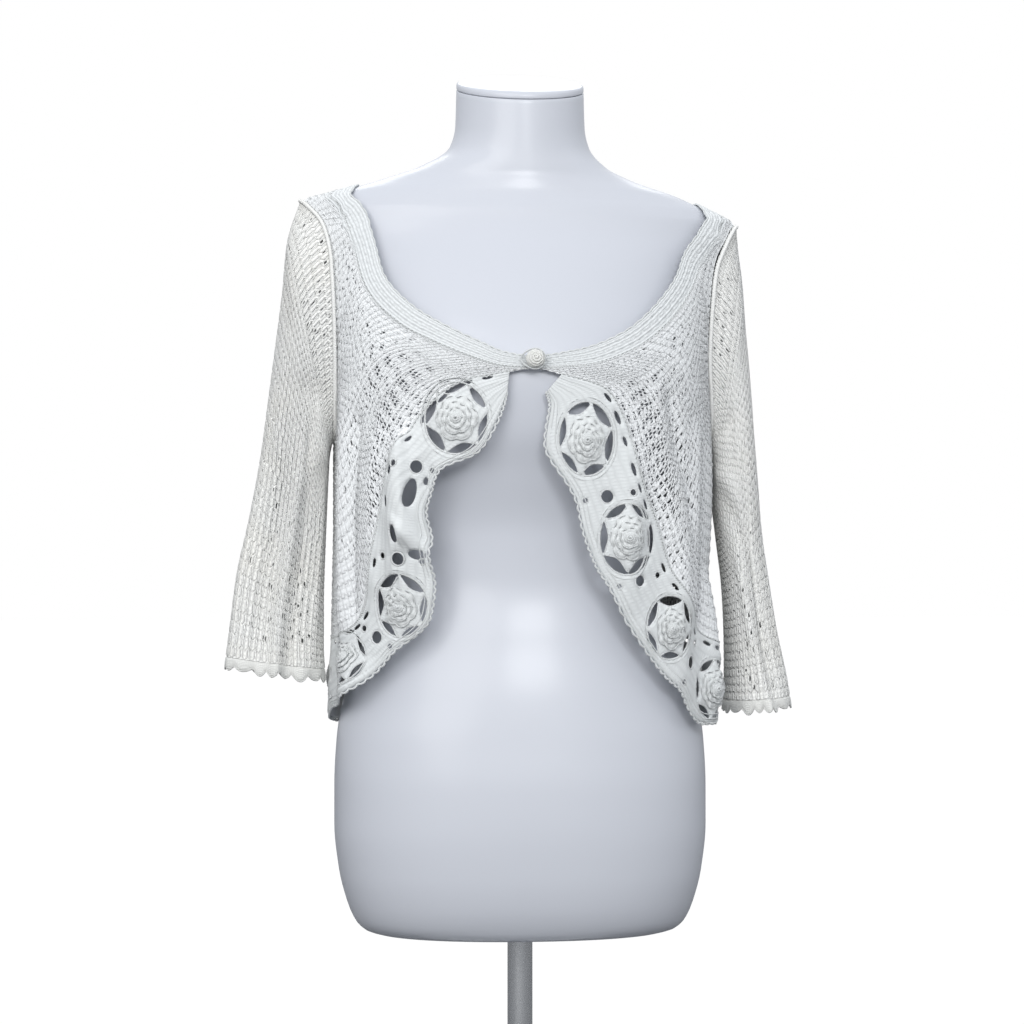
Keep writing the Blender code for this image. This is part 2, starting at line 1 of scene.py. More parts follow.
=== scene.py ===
# Crochet bolero on a glossy dress form: yarn, lace, form, stand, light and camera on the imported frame.
import bpy
import numpy as np
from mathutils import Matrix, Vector


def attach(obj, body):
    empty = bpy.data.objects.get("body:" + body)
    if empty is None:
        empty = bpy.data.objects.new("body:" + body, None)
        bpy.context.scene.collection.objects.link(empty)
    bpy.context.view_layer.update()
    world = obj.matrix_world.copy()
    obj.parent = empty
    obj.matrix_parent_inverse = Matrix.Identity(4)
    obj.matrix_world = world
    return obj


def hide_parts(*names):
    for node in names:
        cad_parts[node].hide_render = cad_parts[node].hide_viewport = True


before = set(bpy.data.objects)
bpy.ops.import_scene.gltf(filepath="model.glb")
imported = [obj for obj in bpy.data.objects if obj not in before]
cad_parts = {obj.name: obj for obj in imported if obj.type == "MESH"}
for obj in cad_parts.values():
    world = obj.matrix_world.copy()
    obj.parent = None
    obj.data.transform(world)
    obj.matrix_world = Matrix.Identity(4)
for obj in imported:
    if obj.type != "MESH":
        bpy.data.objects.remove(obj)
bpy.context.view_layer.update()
print("frame loaded:", len(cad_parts), "nodes")

level = 190.0  # mm, where the heights in the tables start, above the ground
wall = 2.0  # mm, thickness of the knitted wall in the solids
triangles = {}

# the same tables that give the solids their form, in mm and degrees

bodyForm = {
    # height, left half, right half, front, back, squareness
    "sections": [(11, 128, 128, 84, 86, 2.2), (14, 137, 137, 92, 94, 2.3), (22, 145, 145, 99, 101, 2.4),
                 (38, 152, 152, 106, 109, 2.4), (66, 159, 159, 111, 115, 2.4), (105, 163, 163, 113, 116, 2.4),
                 (140, 163, 163, 112, 112, 2.4), (180, 161, 161, 108, 104, 2.4), (220, 154, 154, 103, 98, 2.3),
                 (270, 136, 136, 94, 88, 2.3), (320, 121, 121, 87, 80, 2.2), (360, 119, 119, 88, 79, 2.2),
                 (410, 129, 129, 100, 82, 2.2), (450, 141, 141, 112, 88, 2.2), (490, 149, 149, 116, 94, 2.2),
                 (530, 153, 153, 107, 97, 2.1), (565, 159, 158, 93, 96, 2.0), (595, 167, 166, 79, 90, 1.9),
                 (620, 176, 177, 66, 77, 1.8), (632, 179, 179, 61, 70, 1.8), (642, 179, 169.5, 58, 65, 1.8),
                 (650, 174, 153.5, 55, 60, 1.8), (657, 161, 137, 53, 57, 1.8), (665, 135, 112, 52, 55, 1.8),
                 (673, 110, 91, 51, 54, 1.9), (680, 90, 77, 51, 53, 2.0), (698, 62, 61, 51, 52, 2.0),
                 (716, 57, 57, 51, 51, 2.0), (748, 56, 56, 51, 51, 2.0)],
    "neckTop": 748, "neckFoot": 680, "neckSlant": 0.27, "around": 112,
}
clothForm = {
    "sections": [(150, 168, 168, 122, 120, 2.4), (215, 167, 167, 122, 118, 2.4), (260, 165, 165, 121, 114, 2.4),
                 (310, 164, 164, 121, 110, 2.4), (370, 163, 163, 122, 104, 2.4), (440, 163, 163, 124, 101, 2.3),
                 (490, 167, 166, 123, 102, 2.2), (530, 173, 170, 116, 104, 2.1), (570, 180, 177, 103, 103, 2.0),
                 (600, 185, 184, 89, 97, 1.9), (620, 189, 190, 79, 88, 1.85), (632, 191, 189, 72, 80, 1.8),
                 (642, 192, 173, 67, 73, 1.8), (650, 189, 157, 63, 68, 1.8), (657, 166, 142, 60, 64, 1.8),
                 (665, 140, 126, 57, 61, 1.8), (690, 70, 70, 54, 56, 1.9)],
    # angle, spread, top, bottom, depth of the soft ridges that hang in the cloth
    "folds": [(-47, 6.5, 448, 300, 15), (-60, 5.0, 440, 290, 5), (-70, 6.0, 520, 240, 7), (-66, 6.0, 255, 195, 12),
              (36, 5.0, 440, 290, 6), (56, 5.0, 430, 215, 8), (72, 5.0, 330, 170, 12), (80, 7.0, 500, 320, 5),
              (-118, 10, 430, 170, 7), (-150, 9, 400, 170, 9), (-182, 10, 440, 170, 6), (-214, 9, 400, 170, 9),
              (-246, 10, 430, 170, 7)],
    # angle and height of both ends, width on the near and the far side in mm, rise in mm
    "creases": [(-46.5, 438, -42.5, 362, 10, 2.4, 7.5), (-42.8, 362, -36, 338, 9, 2.4, 6.5),
                (-40, 415, -38.5, 366, 4, 5, -4), (-65.5, 452, -66.5, 300, 7, 5, -4),
                (-58, 440, -56.5, 320, 8, 8, 3), (-72, 470, -73, 290, 8, 8, 3), (53, 470, 60, 380, 8, 6, -3.6),
                (47, 480, 51, 360, 8, 8, 2.6), (66, 440, 62, 300, 8, 8, 3),
                (-150, 470, -152, 330, 10, 10, 2.6), (-214, 460, -210, 320, 10, 10, 2.8),
                (-182, 420, -180, 300, 10, 10, -2.6)],
    "creaseScale": 2.5, "creaseFade": 12,  # mm to a degree; mm over which a crease fades past its ends
    # place, angle, height, band width along the neck, from the left front corner round to the right one
    "neck": [(0.00, -1.2, 508, 9), (0.12, -12, 512, 12), (0.25, -23, 522, 15), (0.37, -37, 537, 17),
             (0.48, -48, 552, 19), (0.62, -60, 579, 20), (0.80, -69.5, 623, 20), (0.90, -76, 648, 20),
             (1.00, -90, 664, 20),
             (1.30, -125, 648, 20), (1.60, -155, 632, 20), (2.00, -180, 626, 20), (2.40, -205, 628, 20),
             (2.70, -236, 636, 20), (3.00, -270, 650, 20), (3.20, -289, 612, 20), (3.38, -298, 580, 20),
             (3.52, -310, 552, 19), (3.63, -323, 531, 17), (3.76, -338, 517, 15), (3.88, -348.5, 512, 12),
             (4.00, -359.6, 508, 9)],
    # place, inner angle, inner height, outer angle, outer height of the lace trim
    "trim": [(0.00, -10, 496, -11, 480), (0.33, -28, 488, -14, 460), (0.67, -42, 460, -22, 430),
             (1.00, -49, 424, -35, 413), (1.50, -53, 385, -40, 378), (2.00, -57, 342, -37, 334),
             (2.50, -60, 306, -39, 291), (3.00, -66, 281, -52, 256), (3.50, -78, 270, -66, 224),
             (4.00, -90, 268, -84, 206), (5.00, -126, 272, -124, 190), (6.50, -180, 276, -180, 186),
             (8.00, -234, 272, -236, 190), (9.00, -270, 262, -276, 196), (9.50, -283, 262, -293, 196),
             (10.00, -295, 274, -305, 222), (10.50, -302, 300, -316, 256), (11.00, -309, 328, -332, 314),
             (11.50, -314, 368, -339, 350), (12.00, -321, 408, -347, 399), (12.33, -325, 450, -356, 436),
             (12.67, -333, 482, -354, 468), (13.00, -350, 494, -355.5, 480)],
    "armholes": {"left": {"turn": -90, "tip": 649, "underarm": 440, "front": 15, "back": 17, "sign": -1},
                 "right": {"turn": -270, "tip": 631, "underarm": 436, "front": 15, "back": 17, "sign": 1}},
    "armholeSteps": 10, "sideSteps": 6, "backNeckSteps": 20, "shoulderSteps": 3, "reach": 0.7,
    "rayAngles": [232, 248, 270, 292, 308], "sideJoints": {"left": 4, "right": 9}, "motifs": 13,
}


def curveThrough(table, places):
    # cubic between rows; a row's slope is the harmonic mean of the two beside it, or 0 where they turn
    table = np.asarray(table, float)
    xs, rows = table[:, 0], table[:, 1:]
    steps = np.diff(xs)
    slopes = np.diff(rows, axis=0) / steps[:, None]
    before, after = slopes[:-1], slopes[1:]
    sameWay = before * after > 0
    middle = np.where(sameWay, 2 * before * after / np.where(sameWay, before + after, 1), 0)
    tangents = np.concatenate([slopes[:1], middle, slopes[-1:]])
    places = np.asarray(places, float)
    first = np.clip(np.searchsorted(xs, places, side="right") - 1, 0, len(steps) - 1)
    t = np.clip((places - xs[first]) / steps[first], 0, 1)[..., None]
    step = steps[first][..., None]
    return ((1 + 2 * t) * (1 - t) ** 2 * rows[first] + t * (1 - t) ** 2 * step * tangents[first]
            + t * t * (3 - 2 * t) * rows[first + 1] + t * t * (t - 1) * step * tangents[first + 1])


def roundedSection(angle, left, right, front, back, exponent):
    # r = ((|sin a| / w)^n + (|cos a| / d)^n)^(-1/n), with its own w or d on each of the four sides
    side, ahead = np.sin(np.radians(angle)), np.cos(np.radians(angle))
    across = np.abs(side) / np.where(side < 0, left, right)
    along = np.abs(ahead) / np.where(ahead > 0, front, back)
    return (across ** exponent + along ** exponent) ** (-1 / exponent)


def roundTheAxis(angle, distance, height):
    # (r sin a, -r cos a, h)
    turned = np.radians(angle)
    return np.stack([distance * np.sin(turned), -distance * np.cos(turned), height + 0 * turned], axis=-1)


def foldHeight(angle, height):
    # sum of depth * exp(-(a / spread)^2) * sin(pi * share of the height)^0.8
    total = np.zeros(np.broadcast(angle, height).shape)
    for middle, spread, top, bottom, depth in clothForm["folds"]:
        away = (angle - middle + 180) % 360 - 180
        along = np.clip((height - bottom) / (top - bottom), 0, 1)
        total += depth * np.exp(-(away / spread) ** 2) * np.sin(np.pi * along) ** 0.8
    return total


def creaseHeight(angle, height):
    # sum of rise * exp(-(distance to the line / width)^2 - (distance past its ends / fade)^2)
    scale, fade = clothForm["creaseScale"], clothForm["creaseFade"]
    total = np.zeros(np.broadcast(angle, height).shape)
    for angle0, height0, angle1, height1, near, far, rise in clothForm["creases"]:
        across, up = (angle1 - angle0) * scale, height1 - height0
        long = np.hypot(across, up)
        x, y = ((angle - angle0 + 180) % 360 - 180) * scale, height - height0
        along, away = (x * across + y * up) / long, (y * across - x * up) / long
        past = np.maximum(np.abs(along - long / 2) - long / 2, 0)
        total += rise * np.exp(-(away / np.where(away > 0, far, near)) ** 2 - (past / fade) ** 2)
    return total


def clothPoint(angle, height):
    # the section's distance at that angle, and the folds on top of it
    left, right, front, back, exponent = np.moveaxis(curveThrough(clothForm["sections"], height), -1, 0)
    distance = roundedSection(angle, left, right, front, back, exponent)
    return roundTheAxis(angle, distance + foldHeight(angle, height) + creaseHeight(angle, height), height)


def clothAt(plan):
    # the cloth's point at each (angle, height)
    return clothPoint(plan[..., 0], plan[..., 1])


def unit(vectors):
    # v / |v|
    return vectors / np.maximum(np.linalg.norm(vectors, axis=-1, keepdims=True), 1e-9)


def clothNormal(angle, height):
    # slope round the body x slope up it, made one unit long
    across = clothPoint(angle + 0.5, height) - clothPoint(angle - 0.5, height)
    upward = clothPoint(angle, height + 1) - clothPoint(angle, height - 1)
    return unit(np.cross(across, upward))


def onCloth(plan, lift=0.0):
    # point + lift * normal at each (angle, height), and the normal
    normal = clothNormal(plan[..., 0], plan[..., 1])
    return clothAt(plan) + normal * lift, normal


def neckEdge(places, lower=False):
    # the neck's upper edge, or that edge moved by the band's width across it
    places = np.asarray(places, float)
    angle, height, width = np.moveaxis(curveThrough(clothForm["neck"], places), -1, 0)
    if not lower:
        return np.stack([angle, height], axis=-1)
    behind, ahead = (clothAt(curveThrough(clothForm["neck"], np.clip(places + step, 0, 4))) for step in (-0.01, 0.01))
    along = unit(ahead - behind)
    below = clothPoint(angle, height) + np.cross(clothNormal(angle, height), along) * width[..., None]
    turned = np.degrees(np.arctan2(below[..., 0], -below[..., 1]))
    turned = angle + (turned - angle + 180) % 360 - 180
    return np.stack([turned, below[..., 2]], axis=-1)


def trimPlan(place, share):
    # inner edge * (1 - share) + outer edge * share
    edges = curveThrough(clothForm["trim"], place)
    share = np.asarray(share, float)[..., None]
    return edges[..., :2] * (1 - share) + edges[..., 2:] * share


def armhole(side, face):
    # angle = turn +- reach * sin(pi t), height falls from tip to underarm as (1 - cos(pi t)) / 2
    hole = clothForm["armholes"][side]
    t = np.linspace(0, 1, clothForm["armholeSteps"] + 1)
    forward = -hole["sign"] if face == "front" else hole["sign"]
    angle = hole["turn"] + forward * hole[face] * np.sin(np.pi * t)
    height = hole["tip"] - (hole["tip"] - hole["underarm"]) * (1 - np.cos(np.pi * t)) / 2
    return np.stack([angle, height], axis=-1)


def sideEdge(side, face):
    # the armhole, and a straight seam from the underarm to the trim
    hole = clothForm["armholes"][side]
    top = np.array([hole["turn"], hole["underarm"]])
    foot = trimPlan(np.array(float(clothForm["sideJoints"][side])), 0.0)
    t = np.linspace(0, 1, clothForm["sideSteps"] + 1)[1:, None]
    return np.concatenate([armhole(side, face), top * (1 - t) + foot * t])


def trimEdgePlaces(first, last):
    # places where the motifs' rays meet the inner edge: k + 0.5 - 0.5 / tan(ray)
    offsets = -0.5 / np.tan(np.radians(clothForm["rayAngles"]))
    inner = (np.arange(first, last)[:, None] + 0.5 + offsets).ravel()
    return np.array([first, *inner, last], float)


def running(steps):
    # sum of the steps up to each place, from 0
    return np.concatenate([[0], np.cumsum(steps)])


def blend(pair, share):
    # first * (1 - share) + second * share
    return pair[0] * (1 - share) + pair[1] * share


def eased(t):
    # 3 t^2 - 2 t^3, held between 0 and 1
    t = np.clip(t, 0, 1)
    return t * t * (3 - 2 * t)


def patch(top, bottom, left, right):
    # (1 - u) * left + u * right, plus what the top and bottom edges ask for, eased out away from them
    u = np.linspace(0, 1, len(top))[None, :, None]
    v = np.linspace(0, 1, len(left))[:, None, None]
    ruled = (1 - u) * left[:, None] + u * right[:, None]
    reach = clothForm["reach"]
    return (ruled + eased((reach - v) / reach) * (top[None] - ruled[:1])
            + eased((v - 1 + reach) / reach) * (bottom[None] - ruled[-1:]))


def lineBetween(start, end, steps):
    # start * (1 - t) + end * t
    t = np.linspace(0, 1, steps + 1)[:, None]
    return np.asarray(start) * (1 - t) + np.asarray(end) * t


def frontPlan(side):
    # a patch between the armhole's side and the neckline
    rows = clothForm["armholeSteps"] + clothForm["sideSteps"] + 1
    seam = sideEdge(side, "front")
    if side == "left":
        bottom = trimPlan(trimEdgePlaces(0, 4), 0.0)[::-1]
        neckline = neckEdge(np.linspace(1, 0, rows), lower=True)
        bottom[-1] = neckline[-1]
        return patch(lineBetween(seam[0], neckline[0], len(bottom) - 1), bottom, seam, neckline)
    bottom = trimPlan(trimEdgePlaces(9, 13), 0.0)[::-1]
    neckline = neckEdge(np.linspace(3, 4, rows), lower=True)
    bottom[0] = neckline[-1]
    return patch(lineBetween(neckline[0], seam[0], len(bottom) - 1), bottom, neckline, seam)


def backPlan():
    # a patch from the right side seam round the back to the left one
    bottom = trimPlan(trimEdgePlaces(4, 9), 0.0)[::-1]
    neckline = neckEdge(np.linspace(3, 1, clothForm["backNeckSteps"] + 1), lower=True)
    left, right = sideEdge("left", "back"), sideEdge("right", "back")
    shoulder = clothForm["shoulderSteps"]
    top = np.concatenate([lineBetween(right[0], neckline[0], shoulder)[:-1], neckline,
                          lineBetween(neckline[-1], left[0], shoulder)[1:]])
    return patch(top, bottom, right, left)


# mesh helpers

def gridQuads(rows, columns, closedRows=False, closedColumns=False):
    # cell (i, j) joins (i, j), (i, j + 1), (i + 1, j + 1) and (i + 1, j)
    i = np.arange(rows if closedRows else rows - 1)[:, None]
    j = np.arange(columns if closedColumns else columns - 1)[None]
    k, n = (j + 1) % columns, (i + 1) % rows
    return np.stack([i * columns + j, i * columns + k, n * columns + k, n * columns + j], axis=-1).reshape(-1, 4)


class Batch:
    # collects the points, faces and UVs of many tubes and sheets that become one mesh
    def __init__(self):
        self.points, self.faces, self.corners, self.count = [], [], [], 0

    def add(self, points, faces, cornerUv=None):
        # new face numbers = own numbers + the count of points so far
        points = np.asarray(points, float).reshape(-1, 3)
        self.points.append(points)
        self.faces.append(faces + self.count)
        self.corners.append(np.zeros(faces.shape + (2,)) if cornerUv is None else cornerUv)
        self.count += len(points)

    def close(self, faces):
        # more faces on points that are in, with no UV of their own
        self.faces.append(faces)
        self.corners.append(np.zeros(faces.shape + (2,)))

    def closeEnds(self, rows, around, outward=False):
        # the last rows * around points are rings; the first and the last ring become faces
        ring = np.arange(around)
        first, last = self.count - rows * around + ring, self.count - around + ring
        self.close(np.stack([first[::-1], last] if outward else [first, last[::-1]]))

    def closeFans(self, rows, around, ends, inward=False):
        # the same rings; each end point is joined to the first or the last of them
        start, last = self.count - rows * around, self.count - around
        j = np.arange(around)
        k = (j + 1) % around
        if inward:
            j, k = k, j
        hub = 0 * j + self.count
        self.points.append(ends)
        self.count += 2
        self.close(np.concatenate([np.stack([hub, start + k, start + j], -1),
                                   np.stack([hub + 1, last + j, last + k], -1)]))


def putInScene(thing):
    # the object, linked to the scene's collection
    bpy.context.scene.collection.objects.link(thing)
    return thing


def buildPiece(name, batch, material, nodes=()):
    # points in mm become metres above the ground, in one mesh written as whole arrays
    points = np.concatenate(batch.points) * 0.001 + (0, 0, level * 0.001)
    corners = np.concatenate([f.ravel() for f in batch.faces]).astype(np.int32)
    sizes = np.concatenate([np.full(len(f), f.shape[1]) for f in batch.faces])
    uv = np.concatenate([c.reshape(-1, 2) for c in batch.corners])
    mesh = bpy.data.meshes.new(name)
    mesh.vertices.add(len(points))
    mesh.vertices.foreach_set("co", points.ravel().astype(np.float32))
    mesh.loops.add(len(corners))
    mesh.loops.foreach_set("vertex_index", corners)
    mesh.polygons.add(len(sizes))
    mesh.polygons.foreach_set("loop_start", (np.cumsum(sizes) - sizes).astype(np.int32))
    mesh.update(calc_edges=True)
    mesh.uv_layers.new(name="yarnUv").data.foreach_set("uv", uv.ravel().astype(np.float32))
    mesh.shade_smooth()
    mesh.materials.append(material)
    made = putInScene(bpy.data.objects.new(name, mesh))
    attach(made, "root")
    if nodes:
        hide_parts(*nodes)
    triangles[name] = int((sizes - 2).sum())
    return made


def alongPath(path, closed):
    # next point - point before
    return np.roll(path, -1, 0) - np.roll(path, 1, 0) if closed else np.gradient(path, axis=0)


def sweep(batch, path, normal, radius, sides, closed=False):
    # ring = path + radius * (cos p * side + sin p * lift), side = along x normal, lift = side x along
    path, count = np.asarray(path, float), len(path)
    ahead = alongPath(path, closed)
    side = unit(np.cross(ahead, normal))
    lift = unit(np.cross(side, ahead))
    p = ((np.arange(sides) + 0.5) * 2 * np.pi / sides)[None, :, None]
    radius = np.broadcast_to(np.asarray(radius, float), (count,))[:, None, None]
    rings = path[:, None] + radius * (np.cos(p) * side[:, None] + np.sin(p) * lift[:, None])
    quads = gridQuads(count, sides, closed, True)[:, [0, 3, 2, 1]]
    length = running(np.linalg.norm(np.diff(path, axis=0), axis=-1)) / 10
    used = count if closed else count - 1
    here, there = length[:used, None], np.append(length, length[-1] + 0.1)[1:used + 1, None]
    share = np.arange(sides)[None] / sides
    uv = np.stack([np.stack(np.broadcast_arrays(a, share + b), -1)
                   for a, b in ((here, 0), (there, 0), (there, 1 / sides), (here, 1 / sides))], axis=2)
    batch.add(rings, quads, uv.reshape(-1, 4, 2))
    if not closed:
        batch.closeEnds(count, sides)


def plait(batch, path, normal, reach, lift, turns, radius, sides=3, closed=False):
    # two strands: path +- reach * sin(2 pi turns s) * across + lift * cos(2 pi turns s +- pi / 2) * normal
    s = np.linspace(0, 1, len(path), endpoint=not closed)[:, None]
    across = unit(np.cross(normal, alongPath(path, closed)))
    for sign in (1, -1):
        wave = sign * reach * np.sin(2 * np.pi * turns * s)
        over = lift * np.cos(2 * np.pi * turns * s + sign * np.pi / 2)
        sweep(batch, path + across * wave + normal * over, normal, radius, sides, closed)


def cubicRead(grid, place, axisPlace, closedColumns):
    # Catmull-Rom weights on four rows and four columns round each place
    grid = np.asarray(grid, float)

    def weights(t):
        # the four Catmull-Rom cubics in t
        return np.stack([(-t + 2 * t * t - t ** 3) / 2, (2 - 5 * t * t + 3 * t ** 3) / 2,
                         (t + 4 * t * t - 3 * t ** 3) / 2, (t ** 3 - t * t) / 2])
    rows, columns = grid.shape[:2]
    r0 = np.clip(np.floor(place).astype(int), 0, rows - 2)
    c0 = np.floor(axisPlace).astype(int)
    if not closedColumns:
        c0 = np.clip(c0, 0, columns - 2)
    wr, wc = weights(place - r0), weights(axisPlace - c0)
    total = 0
    for a in range(4):
        r = np.clip(r0 + a - 1, 0, rows - 1)
        for b in range(4):
            c = (c0 + b - 1) % columns if closedColumns else np.clip(c0 + b - 1, 0, columns - 1)
            total = total + (wr[a] * wc[b])[..., None] * grid[r, c]
    return total


print("tables and helpers ready")

# materials: shared effects are node groups, their own values are set on each material

class Nodes:
    # short ways to add nodes to one tree
    def __init__(self, tree):
        self.tree = tree

    def fill(self, sockets, values):
        # each value is a link or a constant
        for socket, value in zip(sockets, values):
            if isinstance(value, bpy.types.NodeSocket):
                self.tree.links.new(value, socket)
            else:
                socket.default_value = value

    def give(self, node, **values):
        # an underscore in a name stands for a space
        self.fill([node.inputs[label.replace("_", " ")] for label in values], values.values())
        return node

    def add(self, kind, **values):
        # one node of the kind, with its sockets filled
        return self.give(self.tree.nodes.new("ShaderNode" + kind), **values)

    def math(self, operation, *values):
        # operation(first, second)
        node = self.add("Math")
        node.operation = operation
        self.fill(node.inputs, values)
        return node.outputs[0]

    def wave(self, value, turn):
        # |sin(turn * value)|
        return self.math("ABSOLUTE", self.math("SINE", self.math("MULTIPLY", value, turn)))

    def noise(self, vector, scale, detail):
        # fractal noise of scale * vector
        return self.add("TexNoise", Vector=vector, Scale=scale, Detail=detail).outputs["Fac"]

    def split(self, vector):
        # x, y and z
        return self.add("SeparateXYZ", Vector=vector).outputs

    def mixColours(self, share, first, second):
        # first * (1 - share) + second * share
        node = self.add("Mix", Factor=share)
        node.data_type = "RGBA"
        self.fill(node.inputs[6:8], (first, second))
        return node.outputs[2]

    def cameraMix(self, share, unseen, shown, output):
        # camera rays see unseen * (1 - share) + shown * share, all other rays see unseen
        seen = self.math("MULTIPLY", self.add("LightPath").outputs["Is Camera Ray"], share)
        mix = self.add("MixShader")
        self.fill(mix.inputs, (seen, unseen.outputs[0], shown.outputs[0]))
        self.give(output, Surface=mix.outputs[0])


def newGroup(name, inputs, outputs):
    # an empty group; no value makes a vector socket, four numbers a colour, one number a value
    group = bpy.data.node_groups.new(name, "ShaderNodeTree")
    for label, value in inputs.items():
        kind = "Vector" if value is None else "Color" if isinstance(value, tuple) else "Float"
        made = group.interface.new_socket(label, in_out="INPUT", socket_type="NodeSocket" + kind)
        if value is not None:
            made.default_value = value
    for label in outputs:
        kind = "Color" if label == "Color" else "Float"
        group.interface.new_socket(label, in_out="OUTPUT", socket_type="NodeSocket" + kind)
    return Nodes(group), group.nodes.new("NodeGroupInput").outputs, group.nodes.new("NodeGroupOutput")


def yarnTwistGroup():
    # height = |sin 2 pi (length * turns + share round)| of the plies, with fine fibres from noise on top
    nodes, given, out = newGroup("yarnTwist", {"Vector": None, "Object": None, "Turns": 3.0, "Fuzz": 0.5},
                                 ["Height", "Shade"])
    length, share, _ = nodes.split(given["Vector"])
    ply = nodes.wave(nodes.math("ADD", nodes.math("MULTIPLY", length, given["Turns"]), share), 6.2832)
    fibre = nodes.noise(given["Object"], 2600, 4)
    nodes.give(out, Height=nodes.math("ADD", ply, nodes.math("MULTIPLY", fibre, given["Fuzz"])),
               Shade=nodes.math("MULTIPLY", ply, fibre))
    return nodes.tree


def crochetRowsGroup():
    # height = |sin(rows * v)| * (0.55 + 0.45 * |sin(posts * u)|): rows of stitches with their posts across them
    nodes, given, out = newGroup("crochetRows", {"Vector": None, "Object": None, "Rows": 4.0, "Posts": 60.0},
                                 ["Height", "Shade"])
    u, v, _ = nodes.split(given["Vector"])
    warp = nodes.noise(given["Object"], 140, 2)
    row = nodes.math("ADD", nodes.math("MULTIPLY", v, given["Rows"]), nodes.math("MULTIPLY", warp, 0.5))
    post = nodes.math("ADD", nodes.math("MULTIPLY", u, given["Posts"]), nodes.math("MULTIPLY", warp, 0.8))
    posts = nodes.math("ADD", nodes.math("MULTIPLY", nodes.wave(post, 3.1416), 0.45), 0.55)
    wave = nodes.math("MULTIPLY", nodes.wave(row, 3.1416), posts)
    fibre = nodes.math("MULTIPLY", nodes.noise(given["Object"], 1500, 5), 0.5)
    nodes.give(out, Height=nodes.math("ADD", wave, fibre), Shade=wave)
    return nodes.tree


def cottonToneGroup():
    # colour = fresh towards the front, warm towards the back as painted shade and in cloudy patches as random aged
    # tone, and darker in the stitches' dips as painted shade
    nodes, given, out = newGroup("cottonTone", {"Object": None, "Shade": 0.5, "Fresh": (0.8, 0.82, 0.82, 1),
                                                "Aged": (0.8, 0.78, 0.7, 1), "Front": 0.0, "Depth": 0.1},
                                 ["Color", "Roughness"])
    _, y, _ = nodes.split(given["Object"])
    # painted shade: the warm tone rises towards the back (+y) and stands in for the shaded, back-lit inside; the cloud
    # adds random aged tone
    back = nodes.math("ADD", nodes.math("MULTIPLY", y, 9.0), given["Front"])
    cloud = nodes.math("SUBTRACT", nodes.noise(given["Object"], 16, 3), 0.5)
    held = nodes.add("Clamp", Value=nodes.math("ADD", back, nodes.math("MULTIPLY", cloud, 1.6)))
    tone = nodes.mixColours(held.outputs[0], given["Fresh"], given["Aged"])
    # painted shade: the colour is scaled by 1 + depth * (shade - 0.6), so it is darker in the stitches' dips
    lit = nodes.math("ADD", nodes.math("MULTIPLY", given["Shade"], given["Depth"]), 1.0)
    shaded = nodes.add("VectorMath")
    shaded.operation = "SCALE"
    nodes.fill(shaded.inputs, (tone,))
    nodes.give(shaded, Scale=nodes.math("SUBTRACT", lit, nodes.math("MULTIPLY", given["Depth"], 0.6)))
    nodes.give(out, Color=shaded.outputs[0], Roughness=nodes.math("ADD", nodes.math("MULTIPLY", cloud, 0.12), 0.86))
    return nodes.tree


def surfaceMarksGroup():
    # faint ripple of moulded plastic or drawn metal, and fine dust that settles where the noise is high
    nodes, given, out = newGroup("surfaceMarks", {"Object": None, "Base": (0.8, 0.8, 0.8, 1),
                                                  "Dusty": (0.7, 0.7, 0.7, 1), "Smooth": 0.2, "Ripple": 8.0},
                                 ["Color", "Roughness", "Height"])
    cloud = nodes.noise(given["Object"], 6, 4)
    speck = nodes.add("MapRange", From_Min=0.62, From_Max=0.8, Value=nodes.noise(given["Object"], 900, 5)).outputs[0]
    rough = nodes.math("ADD", given["Smooth"], nodes.math("MULTIPLY", cloud, 0.08))
    nodes.give(out, Color=nodes.mixColours(nodes.math("MULTIPLY", speck, cloud), given["Base"], given["Dusty"]),
               Roughness=nodes.math("ADD", rough, nodes.math("MULTIPLY", speck, 0.15)),
               Height=nodes.noise(given["Object"], given["Ripple"], 1))
    return nodes.tree


effects = {"twist": yarnTwistGroup(), "rows": crochetRowsGroup(), "tone": cottonToneGroup(),
           "marks": surfaceMarksGroup()}

cottonColours = {
    # fresh colour; warm colour, painted shade towards the back and random aged tone in patches; how far the fresh one
    # reaches from the front
    "body": ((0.90, 0.915, 0.925), (0.92, 0.905, 0.85), -0.15),
    "sleeve": ((0.92, 0.92, 0.90), (0.93, 0.915, 0.865), 0.30),
    "cord": ((0.77, 0.79, 0.79), (0.80, 0.78, 0.70), -0.2),
    "trim": ((0.74, 0.762, 0.765), (0.79, 0.77, 0.69), -0.2),
    "band": ((0.75, 0.772, 0.78), (0.81, 0.795, 0.73), -0.2),
    "cuff": ((0.87, 0.87, 0.84), (0.88, 0.865, 0.80), -0.2),
    "button": ((0.86, 0.86, 0.83), (0.85, 0.82, 0.74), 0.2),
}
cottonFinishes = {
    # colours, strength of the painted shade in the stitches' dips, stitch effect and its two values, bump distance in m
    "bodyKnit": ("body", 0.10, "twist", {"Turns": 3.4, "Fuzz": 0.7}, 0.0005),
    "sleeveKnit": ("sleeve", 0.10, "twist", {"Turns": 3.4, "Fuzz": 0.7}, 0.0005),
    "bodyGround": ("body", 0.16, "rows", {"Rows": 1.0, "Posts": 1.0}, 0.0008),
    "sleeveGround": ("sleeve", 0.16, "rows", {"Rows": 1.0, "Posts": 1.0}, 0.0008),
    "trimCord": ("cord", 0.14, "twist", {"Turns": 4.0, "Fuzz": 0.6}, 0.0005),
    "trimRows": ("trim", 0.10, "rows", {"Rows": 9.0, "Posts": 36.0}, 0.0006),
    "petalRows": ("cord", 0.12, "rows", {"Rows": 3.0, "Posts": 44.0}, 0.0006),
    "bandRows": ("band", 0.24, "rows", {"Rows": 7.0, "Posts": 260.0}, 0.0009),
    "cuffRows": ("cuff", 0.24, "rows", {"Rows": 7.0, "Posts": 260.0}, 0.0009),
    "buttonCotton": ("button", 0.14, "twist", {"Turns": 4.0, "Fuzz": 0.6}, 0.0005),
}
